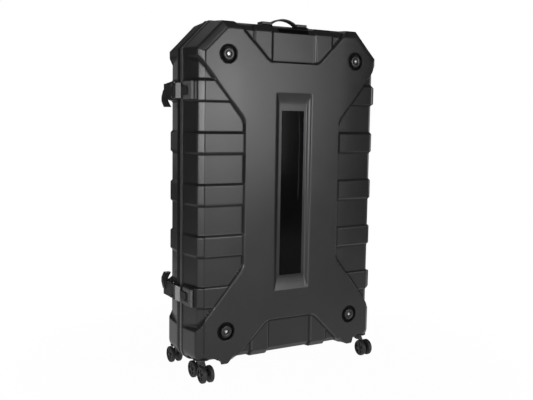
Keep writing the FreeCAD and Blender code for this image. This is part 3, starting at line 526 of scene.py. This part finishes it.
def turned(profile, centre, side):
    """Surface of revolution about a line along Y: (r cos a, side * depth, r sin a) for each profile row."""
    profile = np.asarray(profile, float)
    angle = np.linspace(0.0, TURN, SEGMENTS, endpoint=False)
    r, d = profile[:, :1], profile[:, 1:]
    points = np.stack([centre[0] + r * np.cos(angle), side * d + 0.0 * angle,
                       centre[1] + r * np.sin(angle)], axis=-1)
    quads = ring_quads(np.arange(len(profile) * SEGMENTS).reshape(-1, SEGMENTS))
    return points.reshape(-1, 3), quads[:, ::-1] if side < 0 else quads


def at_bolts(name, profile, side, material, body):
    """The profile turned about each of the four screws of one face, as one piece."""
    copies = [turned(profile, (BOLT_X * across, CENTRE_Z + BOLT_Z * end), side)
              for across in (-1, 1) for end in (-1, 1)]
    points = np.concatenate([rows for rows, _ in copies])
    quads = np.concatenate([faces + index * len(rows) for index, (rows, faces) in enumerate(copies)])
    item = new_mesh(name, points, quads, 60.0)
    item.data.materials.append(material)
    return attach(item, body)


class Wire:
    """A socket's output that joins with others through Math nodes."""

    def __init__(self, finish, socket):
        self.finish = finish
        self.socket = socket

    def math(self, operation, first, second):
        return self.finish.node("ShaderNodeMath", {"operation": operation}, {0: first, 1: second})

    def __add__(self, other):
        return self.math("ADD", self, other)

    def __sub__(self, other):
        return self.math("SUBTRACT", self, other)

    def __rsub__(self, other):
        return self.math("SUBTRACT", other, self)

    def __mul__(self, other):
        return self.math("MULTIPLY", self, other)

    def __pow__(self, other):
        return self.math("POWER", self, other)

    def __abs__(self):
        return self.math("ABSOLUTE", self, 0.0)

    __radd__ = __add__
    __rmul__ = __mul__


class Graph:
    """A node tree whose nodes are made from expressions."""

    def __init__(self, owner):
        owner.use_nodes = True
        self.tree = owner.node_tree
        self.tree.nodes.clear()

    def node(self, kind, settings, values, output=0):
        """New node with its settings and inputs; gives the named output, or none."""
        made = self.tree.nodes.new(kind)
        for key, value in settings.items():
            setattr(made, key, value)
        for key, value in values.items():
            self.feed(made.inputs[key], value)
        return None if output is None else Wire(self, made.outputs[output])

    def feed(self, socket, value):
        """Link a wire to a socket, or set the socket's own value."""
        if isinstance(value, Wire):
            self.tree.links.new(value.socket, socket)
        else:
            socket.default_value = value

    def ramp(self, value, low, high):
        """Smooth step from 0 at low to 1 at high."""
        return self.node("ShaderNodeMapRange", {"interpolation_type": "SMOOTHSTEP"},
                         {"Value": value, "From Min": low, "From Max": high})

    def rays(self):
        """Shares of camera, glossy and transmission rays."""
        sockets = self.tree.nodes.new("ShaderNodeLightPath").outputs
        return [Wire(self, sockets[f"Is {kind} Ray"]) for kind in ("Camera", "Glossy", "Transmission")]


class Finish(Graph):
    """A material with a Principled shader."""

    def __init__(self, name):
        self.material = bpy.data.materials.new(name)
        super().__init__(self.material)
        self.shader = self.tree.nodes.new("ShaderNodeBsdfPrincipled")
        self.out = self.tree.nodes.new("ShaderNodeOutputMaterial")
        self.tree.links.new(self.shader.outputs[0], self.out.inputs["Surface"])
        self.place = self.node("ShaderNodeTexCoord", {}, {}, "Object")

    def set(self, **values):
        """Feed the shader's inputs, named with underscores for spaces."""
        for key, value in values.items():
            self.feed(self.shader.inputs[key.replace("_", " ")], value)

    def mark(self, name):
        """The piece's own point attribute."""
        return self.node("ShaderNodeAttribute", {"attribute_name": name}, {}, "Fac")

    def cover(self, share, other):
        """Mix another shader over this one, by that share."""
        own = Wire(self, self.shader.outputs[0])
        mixed = self.node("ShaderNodeMixShader", {}, {0: share, 1: own, 2: other})
        self.feed(self.out.inputs["Surface"], mixed)

    def noise(self, scale, detail=3.0, rough=0.5, place=None):
        return self.node("ShaderNodeTexNoise", {}, {"Vector": place or self.place, "Scale": scale,
                                                    "Detail": detail, "Roughness": rough})

    def along(self, axis):
        return self.node("ShaderNodeSeparateXYZ", {}, {0: self.place}, axis)

    def stretched(self, factors):
        return self.node("ShaderNodeMapping", {}, {"Vector": self.place, "Scale": factors})

    def blend(self, share, first, second):
        return self.node("ShaderNodeMix", {"data_type": "RGBA"}, {0: share, 6: first, 7: second}, 2)

    def bump(self, height, strength, distance):
        return self.node("ShaderNodeBump", {},
                         {"Strength": strength, "Distance": distance, "Height": height})


def shade(colour, factor):
    """The colour made lighter or darker, with full alpha."""
    return tuple(min(1.0, channel * factor) for channel in colour[:3]) + (1.0,)


def moulded_finish(name, colour, gloss, grain, wear, shine=0.5):
    """Satin moulded plastic: fine spark grain, mottling of tone and gloss, faint scuffs, painted highlights
    on step lips and painted shade in creases.
    """
    finish = Finish(name)
    mottle = finish.noise(5.0, 4.0, 0.55)
    fine = finish.noise(grain, 2.0, 0.6)
    scuff_and_highlight_noise = finish.noise(3.0, 6.0, 0.7, finish.stretched((9.0, 9.0, 1.6)))
    scuff = finish.ramp(scuff_and_highlight_noise, 0.62, 0.74) * finish.ramp(finish.noise(2.2, 2.0), 0.45, 0.7)
    tone = finish.blend(finish.ramp(mottle, 0.3, 0.7), shade(colour, 0.86), shade(colour, 1.12))
    wear_and_highlight = finish.blend(scuff * wear, tone, shade(colour, 1.9))
    # painted highlight: a much lighter colour on the lips of steps, broken up by noise
    wear_and_highlight = finish.blend(finish.mark("lip_highlight") * finish.ramp(scuff_and_highlight_noise, 0.2, 0.5), wear_and_highlight, shade(colour, 9.0))
    finish.set(Base_Color=wear_and_highlight, Roughness=gloss + (mottle - 0.5) * 0.12 + scuff * 0.08 + (fine - 0.5) * 0.08,
               Normal=finish.bump(fine + mottle * 0.4, 0.18, 0.0006), Specular_IOR_Level=shine)
    # painted shade: a darker, rough, dull shader mixed in where the crease shade mark is
    crease_shade_shader = finish.node("ShaderNodeBsdfPrincipled", {},
                       {"Base Color": shade(colour, 0.6), "Roughness": 0.9, "Specular IOR Level": 0.1})
    finish.cover(finish.mark("crease_shade") * 0.8, crease_shade_shader)
    return finish.material


def rim_finish(name, colour, shine):
    """Satin rim whose step at the seam is painted black as shade and left rough: the step is where |y| is
    under its depth.
    """
    finish = Finish(name)
    mottle = finish.noise(6.0, 4.0, 0.55)
    fine = finish.noise(700.0, 2.0, 0.6)
    # painted shade: the step at the seam is coloured near black where shade falls
    seam_shade = finish.ramp(abs(finish.along("Y")), 0.0040, 0.0034)
    tone = finish.blend(finish.ramp(mottle, 0.3, 0.7), shade(colour, 0.85), shade(colour, 1.15))
    finish.set(Base_Color=finish.blend(seam_shade, tone, shade(colour, 0.15)),
               Roughness=0.34 + (mottle - 0.5) * 0.12 + seam_shade * 0.5, Normal=finish.bump(fine, 0.15, 0.0005),
               Specular_IOR_Level=shine)
    return finish.material


def screw_finish(name, colour):
    """Blackened screw heads, bright in the socket: r^2 = (|x| - bolt x)^2 + (|z| - bolt z)^2."""
    finish = Finish(name)
    x = abs(finish.along("X")) - BOLT_X * MM
    z = abs(finish.along("Z") - CENTRE_Z * MM) - BOLT_Z * MM
    streak = finish.noise(900.0, 2.0)
    socket = finish.ramp((x * x + z * z) ** 0.5, 0.0048, 0.0040)
    tone = finish.blend(streak, shade(colour, 0.06), shade(colour, 0.12))
    finish.set(Base_Color=finish.blend(socket, tone, shade(colour, 1.1)), Metallic=socket * 0.6 + 0.3,
               Roughness=0.32 + (streak - 0.5) * 0.2, Normal=finish.bump(streak, 0.1, 0.0003))
    return finish.material


def pull_finish(name, colour, cover):
    """Grey pull plate across the seam, with dark covered arms behind it: the change is at a fixed depth."""
    finish = Finish(name)
    streak = finish.noise(140.0, 3.0, 0.6, finish.stretched((1.0, 1.0, 10.0)))
    fine = finish.noise(900.0, 2.0)
    behind = finish.ramp(finish.along("Y"), 0.006, 0.008)
    tone = finish.blend(streak, shade(colour, 0.85), shade(colour, 1.12))
    finish.set(Base_Color=finish.blend(behind, tone, shade(cover, 1.0)), Metallic=0.3 - behind * 0.3,
               Roughness=0.45 + (streak - 0.5) * 0.16, Normal=finish.bump(streak + fine * 0.4, 0.12, 0.0004))
    return finish.material


def metal_finish(name, colour, gloss, brush, metallic):
    """Brushed or plated metal: streaks along one axis that vary tone and gloss, and small pits."""
    finish = Finish(name)
    streak = finish.noise(140.0, 3.0, 0.6, finish.stretched(brush))
    cloud = finish.noise(24.0, 3.0)
    pits = finish.ramp(finish.noise(420.0, 1.0), 0.62, 0.72)
    tone = finish.blend(streak, shade(colour, 0.8), shade(colour, 1.15))
    finish.set(Base_Color=finish.blend(pits * 0.5, tone, shade(colour, 0.55)), Metallic=metallic,
               Roughness=gloss + (streak - 0.5) * 0.16 + (cloud - 0.5) * 0.1,
               Normal=finish.bump(streak - pits * 0.6, 0.12, 0.0004))
    return finish.material


def gloss_finish(name, colour):
    """Gloss plate: near-black lacquer with a faint ripple, fine dust and hairline marks."""
    finish = Finish(name)
    ripple = finish.noise(9.0, 2.0)
    hair = finish.ramp(finish.noise(60.0, 2.0, 0.5, finish.stretched((1.0, 1.0, 0.05))), 0.64, 0.7)
    dust = finish.ramp(finish.noise(700.0, 1.0), 0.7, 0.78)
    tone = finish.blend(ripple, shade(colour, 0.35), shade(colour, 0.6))
    finish.set(Base_Color=finish.blend(dust * 0.15 + hair * 0.1, tone, (0.12, 0.12, 0.125, 1.0)),
               Roughness=0.1 + hair * 0.1 + dust * 0.2 + ripple * 0.05,
               Normal=finish.bump(ripple, 0.02, 0.001), Specular_IOR_Level=0.06)
    return finish.material


def rubber_finish(name, colour, gloss, tread):
    """Rubber: dull, with a fine pebble, dusty patches and paler rubbed places."""
    finish = Finish(name)
    pebble = finish.node("ShaderNodeTexVoronoi", {}, {"Vector": finish.place, "Scale": tread})
    cloud = finish.noise(30.0, 4.0, 0.6)
    dust = finish.ramp(cloud, 0.5, 0.75)
    tone = finish.blend(dust * 0.6, shade(colour, 0.9), shade(colour, 1.9))
    finish.set(Base_Color=tone, Roughness=gloss + (cloud - 0.5) * 0.2 + dust * 0.06,
               Normal=finish.bump(pebble + cloud * 0.5, 0.2, 0.0005))
    return finish.material


def colour_setting(name, description, default):
    """Property for a colour."""
    return bpy.props.FloatVectorProperty(name=name, description=description, subtype="COLOR", size=3,
                                         min=0, max=1, default=default)


class CaseFinishSettings(bpy.types.PropertyGroup):
    shell: colour_setting("Shell", "Colour of the moulded half shells", (0.014, 0.014, 0.0145))
    rim: colour_setting("Rim", "Colour of the rims at the seam", (0.026, 0.026, 0.027))
    trim: colour_setting("Trim", "Colour of the latch and handle mouldings", (0.045, 0.045, 0.047))
    metal: colour_setting("Latch plate", "Colour of the latch's pull plates", (0.50, 0.50, 0.51))
    steel: colour_setting("Steel", "Colour of screws, pins and axles", (0.62, 0.62, 0.63))
    plate: colour_setting("Plate", "Colour of the bare gloss plates", (0.006, 0.006, 0.007))
    rubber: colour_setting("Rubber", "Colour of wheels, strap and seal", (0.018, 0.018, 0.019))
    shell_gloss: bpy.props.FloatProperty(name="Shell roughness", description="Mean roughness of the shells",
                                         subtype="FACTOR", min=0, max=1, default=0.31)


class CaseShapeSettings(bpy.types.PropertyGroup):
    grid: bpy.props.FloatProperty(name="Grid", description="Widest cell of the outer skins, in millimetres",
                                  min=2, max=20, default=3.7)
    step: bpy.props.FloatProperty(name="Step", description="Half width of a moulded step, in millimetres",
                                  min=1, max=12, default=3.5)
    lining: bpy.props.FloatProperty(name="Lining grid", min=4, max=40, default=9.0,
                                    description="Widest cell of the linings, in millimetres")
    edge: bpy.props.FloatProperty(name="Edge", description="Rounding of the hardware's edges",
                                  subtype="DISTANCE", unit="LENGTH", min=0, max=0.01, default=0.0012)


class CaseStageSettings(bpy.types.PropertyGroup):
    floor: colour_setting("Floor", "Colour of the floor", (0.9, 0.9, 0.9))
    lens: bpy.props.FloatProperty(name="Lens", description="Focal length of the camera", min=10, max=300,
                                  subtype="DISTANCE_CAMERA", unit="CAMERA", default=51.55)
    key: bpy.props.FloatProperty(name="Key light", unit="POWER", min=0, max=1000, default=48.0,
                                 description="Power of the low front light; the others follow it")
    fill: bpy.props.FloatProperty(name="Fill light", description="Strength of the even surrounding light",
                                  min=0, max=2, default=0.06)


def dress(names, material):
    """Give the named frame nodes a finish."""
    for name in names:
        slots = frame["nodes"][name].data.materials
        slots.clear()
        slots.append(material)


def body_of(node):
    """Body that the record gives the node to."""
    return next(body for body, nodes in frame["record"]["behaviour"]["bodies"].items() if node in nodes)


def nodes_like(*endings):
    """Frame nodes whose names end so."""
    return [name for name in frame["nodes"] if name.endswith(endings)]


def lean_tab(work, way):
    """Finger tab of a lever, swollen below its top and leaning back to the shell.

    Each point moves by x + f(s), with s its height over the tip; the tip points down where way is 1.
    """
    tip = min(vert.co.z * way for vert in work.verts)
    for level in (TAB_SWELL_LOW, TAB_SWELL_HIGH):
        bmesh.ops.bisect_plane(work, geom=work.verts[:] + work.edges[:] + work.faces[:], dist=MERGE,
                               plane_co=(0.0, 0.0, (tip + level * MM) * way), plane_no=(0.0, 0.0, 1.0))
    for vert in (vert for vert in work.verts if vert.co.y > TAB_FRONT * MM):
        above = (vert.co.z * way - tip) / MM
        if vert.co.x < -TAB_OUTER * MM:
            move = np.interp(above, (0.0, TAB_SWELL_LOW, TAB_SWELL_HIGH, TAB_TOP),
                             (TAB_OUTER_MOVE, 0.0, 0.0, TAB_TOP_MOVE))
            vert.co.x += move * MM
        elif above < TAB_FREE:
            vert.co.x += np.interp(above, (0.0, TAB_SWELL_LOW), (TAB_INNER_MOVE, TAB_ROOT_MOVE)) * MM


def rounded_copy(node, width, segments, material, shape=None):
    """Merged copy of a frame node, shaped and with its sharp edges rounded, standing for that node."""
    work = bmesh.new()
    work.from_mesh(frame["nodes"][node].data)
    bmesh.ops.remove_doubles(work, verts=work.verts, dist=MERGE)
    bmesh.ops.join_triangles(work, faces=work.faces, angle_face_threshold=FLAT,
                             angle_shape_threshold=math.pi)
    if shape:
        shape(work)
    mesh = bpy.data.meshes.new(f"{node}_dressed")
    work.to_mesh(mesh)
    work.free()
    mesh.polygons.foreach_set("use_smooth", np.ones(len(mesh.polygons), bool))
    mesh.set_sharp_from_angle(angle=SHARP)
    item = bpy.data.objects.new(mesh.name, mesh)
    bpy.context.scene.collection.objects.link(item)
    bevel = item.modifiers.new("Edges", "BEVEL")
    bevel.width = width
    bevel.segments = segments
    bevel.limit_method = "ANGLE"
    bevel.angle_limit = SHARP
    bevel.harden_normals = True
    mesh.materials.append(material)
    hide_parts(node)
    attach(item, body_of(node))


class CaseShells(bpy.types.Operator):
    """Build the moulded skins and linings of both half shells."""
    bl_idname = "case.shells"
    bl_label = "Half Shells"

    def execute(self, context):
        shape = context.scene.case_shape
        look = context.scene.case_finish
        skin_finish = moulded_finish("shell_satin", look.shell, look.shell_gloss, 900.0, 0.25)
        lining_finish = moulded_finish("lining_grey", shade(look.trim, 2.0), 0.7, 600.0, 0.3)
        for body, node, recessed in (("lid", "front_shell", True), ("case", "rear_shell", False)):
            points, quads, marks = half_shell(shape.grid, shape.step, 0.0, recessed)
            points = carve_wells(points, 0.0)
            inner, inner_quads, _ = half_shell(shape.lining, shape.step, WALL, recessed)
            inner = raise_bosses(carve_wells(inner, WALL))
            inner_quads = inner_quads[:, ::-1]
            if body == "case":
                points[:, 1] *= -1.0
                inner[:, 1] *= -1.0
                quads, inner_quads = quads[:, ::-1], inner_quads[:, ::-1]
            stem = node.split("_")[0]
            skin = new_mesh(f"{stem}_skin", points, quads, 50.0)
            # the skin's point marks carry painted crease shade and painted lip highlights
            for mark, values in marks.items():
                layer = skin.data.attributes.new(mark, "FLOAT", "POINT")
                layer.data.foreach_set("value", values.astype(np.float32))
            lining = new_mesh(f"{stem}_lining", inner, inner_quads, 40.0)
            for item, finish in ((skin, skin_finish), (lining, lining_finish)):
                item.data.materials.append(finish)
                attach(item, body)
            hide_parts(node)
        return {"FINISHED"}


class CaseDishes(bpy.types.Operator):
    """Turn the round cups that the screws of both faces sit in."""
    bl_idname = "case.dishes"
    bl_label = "Screw Cups"

    def execute(self, context):
        look = context.scene.case_finish
        # painted shade: the cups are coloured darker than the shell, for the shadow in the dishes
        finish = moulded_finish("cup_painted_shade", shade(look.shell, 0.4), 0.35, 900.0, 0.1, 0.12)
        face, floor = HALF_DEPTH, HALF_DEPTH - DISH_DEPTH
        profile = [(radius, floor + rise) for radius, rise in CUP_OVER_FLOOR]
        profile += [(radius, face + rise) for radius, rise in CUP_OVER_FACE]
        for body, side, stem in (("lid", -1, "front"), ("case", 1, "rear")):
            at_bolts(f"{stem}_screw_cups", profile, side, finish, body)
        return {"FINISHED"}


class CaseRims(bpy.types.Operator):
    """Round and finish the rims and the seal between the halves."""
    bl_idname = "case.rims"
    bl_label = "Rims and Seal"

    def execute(self, context):
        look = context.scene.case_finish
        edge = context.scene.case_shape.edge
        # painted light and shade: the front rim is coloured lighter and the rear rim darker than the one rim
        # colour
        rounded_copy("front_rim", edge, 2, rim_finish("rim_painted_light", shade(look.rim, 2.4), 0.5))
        rounded_copy("rear_rim", edge, 2, rim_finish("rim_painted_dark", shade(look.rim, 0.4), 0.2))
        dress(["rim_seal"], rubber_finish("seal_rubber", look.rubber, 0.7, 900.0))
        return {"FINISHED"}


class CasePlates(bpy.types.Operator):
    """Finish the bare gloss plate in the recess and the narrow one on the top strip."""
    bl_idname = "case.plates"
    bl_label = "Plates"

    def execute(self, context):
        finish = gloss_finish("plate_gloss", context.scene.case_finish.plate)
        for node in ("badge_plate", "top_plate"):
            rounded_copy(node, PLATE_EDGE, 2, finish)
        return {"FINISHED"}


class CaseHandle(bpy.types.Operator):
    """Round and finish the strap handle, its anchors and its screws."""
    bl_idname = "case.handle"
    bl_label = "Handle"

    def execute(self, context):
        look = context.scene.case_finish
        edge = context.scene.case_shape.edge
        rounded_copy("handle_strap", 1.5 * edge, 3, rubber_finish("strap_rubber", look.rubber, 0.6, 500.0))
        finish = moulded_finish("anchor_satin", look.trim, 0.45, 800.0, 0.2)
        for node in ("handle_anchor_left", "handle_anchor_right"):
            rounded_copy(node, 1.5 * edge, 3, finish)
        dress(["handle_screws"], metal_finish("handle_screw_steel", look.steel, 0.32, (1.0, 1.0, 8.0), 1.0))
        return {"FINISHED"}


class CaseLatches(bpy.types.Operator):
    """Round and finish the keepers, levers, pull plates and tongues of both latches."""
    bl_idname = "case.latches"
    bl_label = "Latches"

    def execute(self, context):
        look = context.scene.case_finish
        edge = context.scene.case_shape.edge
        dark = moulded_finish("latch_dark", shade(look.trim, 0.5), 0.5, 800.0, 0.3, 0.3)
        grey = moulded_finish("keeper_grey", shade(look.trim, 2.1), 0.6, 800.0, 0.3)
        plate = pull_finish("pull_plate", look.metal, shade(look.trim, 0.5))
        steel = metal_finish("pin_steel", look.steel, 0.3, (8.0, 8.0, 1.0), 1.0)
        for place, way in (("upper", 1.0), ("lower", -1.0)):
            rounded_copy(f"latch_{place}_keeper", edge, 2, grey)
            rounded_copy(f"latch_{place}_lever", edge, 2, dark, partial(lean_tab, way=way))
            rounded_copy(f"latch_{place}_tongue", edge, 2, dark)
            rounded_copy(f"latch_{place}_hook", 0.4 * edge, 2, plate)
            rounded_copy(f"latch_{place}_base", 0.6 * edge, 2, dark)
        dress(nodes_like("_pivot_pin"), steel)
        return {"FINISHED"}


class CaseHinges(bpy.types.Operator):
    """Round and finish the hinges on the other side."""
    bl_idname = "case.hinges"
    bl_label = "Hinges"

    def execute(self, context):
        look = context.scene.case_finish
        leaf = metal_finish("leaf_black", shade(look.trim, 0.9), 0.45, (1.0, 1.0, 6.0), 0.3)
        for node in nodes_like("_front_leaf", "_rear_leaf"):
            rounded_copy(node, 0.5 * context.scene.case_shape.edge, 2, leaf)
        steel = metal_finish("hinge_pin_steel", look.steel, 0.3, (8.0, 8.0, 1.0), 1.0)
        dress(["hinge_upper_pin", "hinge_lower_pin"], steel)
        return {"FINISHED"}


class CasePosts(bpy.types.Operator):
    """Finish the screws of the faces and the posts between them, and turn the pads round the screws."""
    bl_idname = "case.posts"
    bl_label = "Posts and Screws"

    def execute(self, context):
        look = context.scene.case_finish
        dress(nodes_like("_post_screws"), screw_finish("screw_black", look.steel))
        finish = moulded_finish("pad_satin", look.shell, look.shell_gloss, 900.0, 0.2)
        seat, top = HALF_DEPTH - DISH_DEPTH, HALF_DEPTH + PAD_PROUD
        profile = [(radius, top + rise) for radius, rise in PAD_OVER_TOP]
        profile = [(PAD_BORE[0], seat + PAD_BORE[1]), *profile, (PAD_FOOT[0], seat + PAD_FOOT[1])]
        for body, side, stem in (("lid", -1, "front"), ("case", 1, "rear")):
            item = at_bolts(f"{stem}_screw_pads", profile, side, finish, body)
            node = f"{stem}_post_washers"
            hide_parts(node)
        tubes = [name for name in frame["nodes"] if name.startswith("post_")]
        dress(tubes, metal_finish("post_anodised", look.metal, 0.4, (1.0, 0.1, 1.0), 0.9))
        return {"FINISHED"}


class CaseCasters(bpy.types.Operator):
    """Finish the casters' mounts, forks, axles and wheels."""
    bl_idname = "case.casters"
    bl_label = "Casters"

    def execute(self, context):
        look = context.scene.case_finish
        casters = [name for name in frame["nodes"] if name.startswith("caster_")]
        wheels = [name for name in casters if "_wheel_" in name]
        dress(wheels, rubber_finish("wheel_rubber", look.rubber, 0.55, 700.0))
        dress([n for n in casters if n.endswith("_fork")],
              moulded_finish("fork_black", look.trim, 0.42, 900.0, 0.3))
        steel = metal_finish("caster_steel", shade(look.steel, 0.12), 0.5, (8.0, 1.0, 1.0), 0.5)
        dress([n for n in casters if n.endswith(("_mount", "_axles"))], steel)
        return {"FINISHED"}


class CaseStage(bpy.types.Operator):
    """Lay the pale floor, hang the lights and set the camera."""
    bl_idname = "case.stage"
    bl_label = "Floor, Lights and Camera"

    def floor(self, colour):
        """Disc of rings, each at radius r and level zero."""
        radius = np.array(FLOOR_RINGS)[:, None] / MM
        angle = np.linspace(0.0, TURN, SEGMENTS, endpoint=False)
        points = np.stack([radius * np.cos(angle), radius * np.sin(angle), 0.0 * radius * angle], axis=-1)
        quads = ring_quads(np.arange(len(radius) * SEGMENTS).reshape(-1, SEGMENTS))
        item = new_mesh("floor", points.reshape(-1, 3), quads)
        finish = Finish("floor_pale")
        finish.set(Base_Color=tuple(colour) + (1.0,), Roughness=0.9)
        away = finish.node("ShaderNodeVectorMath", {"operation": "LENGTH"}, {0: finish.place}, "Value")
        camera, glossy, through = finish.rays()
        white = finish.node("ShaderNodeEmission", {}, {"Color": WHITE, "Strength": 1.0})
        seen = finish.ramp(away, 0.5, 1.2) * 0.02 + 0.98
        mirrored = 0.55 - finish.ramp(away, 0.6, 2.6) * 0.55
        share = camera * seen + (glossy + through) * mirrored
        finish.cover(share, white)
        item.data.materials.append(finish.material)

    def world(self, strength):
        """White where the camera looks; reflections find some of it behind the case, in a dim room."""
        world = bpy.data.worlds.new("studio")
        bpy.context.scene.world = world
        sky = Graph(world)
        heading = sky.node("ShaderNodeTexCoord", {}, {}, "Generated")
        behind = sky.ramp(sky.node("ShaderNodeSeparateXYZ", {}, {0: heading}, "Y"), 0.97, 1.0)
        camera, glossy, through = sky.rays()
        white = sky.node("ShaderNodeBackground", {}, {"Color": WHITE, "Strength": 1.0})
        room = sky.node("ShaderNodeBackground", {}, {"Color": WHITE, "Strength": strength})
        share = camera + through + glossy * behind * 0.35
        mixed = sky.node("ShaderNodeMixShader", {}, {0: share, 1: room, 2: white})
        sky.node("ShaderNodeOutputWorld", {}, {"Surface": mixed}, None)

    def lamp(self, name, place, target, size, power):
        """Rectangular lamp that faces its target and isn't seen itself."""
        light = bpy.data.lights.new(name, "AREA")
        light.shape = "RECTANGLE"
        light.size, light.size_y = size
        light.energy = power
        item = bpy.data.objects.new(name, light)
        bpy.context.scene.collection.objects.link(item)
        item.location = place
        item.rotation_euler = (Vector(target) - Vector(place)).to_track_quat("-Z", "Y").to_euler()
        item.visible_camera = False

    def camera(self, lens):
        """Camera fitted to the photograph: yaw and pitch of the line of sight, and a small roll."""
        level = Vector((math.cos(CAMERA_YAW), -math.sin(CAMERA_YAW), 0.0))
        ahead = Vector((math.sin(CAMERA_YAW), math.cos(CAMERA_YAW), 0.0))
        sight = ahead * math.cos(CAMERA_PITCH) + Vector((0.0, 0.0, math.sin(CAMERA_PITCH)))
        right = level * math.cos(CAMERA_ROLL) + level.cross(sight) * math.sin(CAMERA_ROLL)
        up = right.cross(sight)
        data = bpy.data.cameras.new("photo_view")
        data.lens = lens
        data.sensor_width = SENSOR_WIDTH
        item = bpy.data.objects.new("photo_view", data)
        bpy.context.scene.collection.objects.link(item)
        turn = Matrix((right, up, -sight)).transposed().to_4x4()
        item.matrix_world = Matrix.Translation(CAMERA_PLACE) @ turn
        bpy.context.scene.camera = item

    def execute(self, context):
        stage = context.scene.case_stage
        self.floor(stage.floor)
        self.world(stage.fill)
        for name, (place, target, size, share) in LAMPS.items():
            self.lamp(name, place, target, size, share * stage.key)
        self.camera(stage.lens)
        context.scene.view_settings.view_transform = "Standard"
        return {"FINISHED"}


class CasePanel(bpy.types.Panel):
    """Lists the steps that dress the case."""
    bl_idname = "VIEW3D_PT_case"
    bl_label = "Travel Case"
    bl_space_type = "VIEW_3D"
    bl_region_type = "UI"
    bl_category = "Case"

    def draw(self, context):
        for settings in (context.scene.case_shape, context.scene.case_finish, context.scene.case_stage):
            box = self.layout.box()
            for name in settings.__annotations__:
                box.prop(settings, name)
        for step in STEPS:
            self.layout.operator(step.bl_idname)


STEPS = (CaseShells, CaseDishes, CaseRims, CasePlates, CaseHandle, CaseLatches, CaseHinges, CasePosts,
         CaseCasters, CaseStage)
SETTINGS = {"case_finish": CaseFinishSettings, "case_shape": CaseShapeSettings,
            "case_stage": CaseStageSettings}


def register():
    for item in (*SETTINGS.values(), *STEPS, CasePanel):
        bpy.utils.register_class(item)
    for name, settings in SETTINGS.items():
        setattr(bpy.types.Scene, name, bpy.props.PointerProperty(type=settings))


def unregister():
    for name in SETTINGS:
        delattr(bpy.types.Scene, name)
    for item in (CasePanel, *reversed(STEPS), *SETTINGS.values()):
        bpy.utils.unregister_class(item)


def main():
    register()
    for step in STEPS:
        group, name = step.bl_idname.split(".")
        getattr(getattr(bpy.ops, group), name)()


if __name__ == "__main__":
    main()
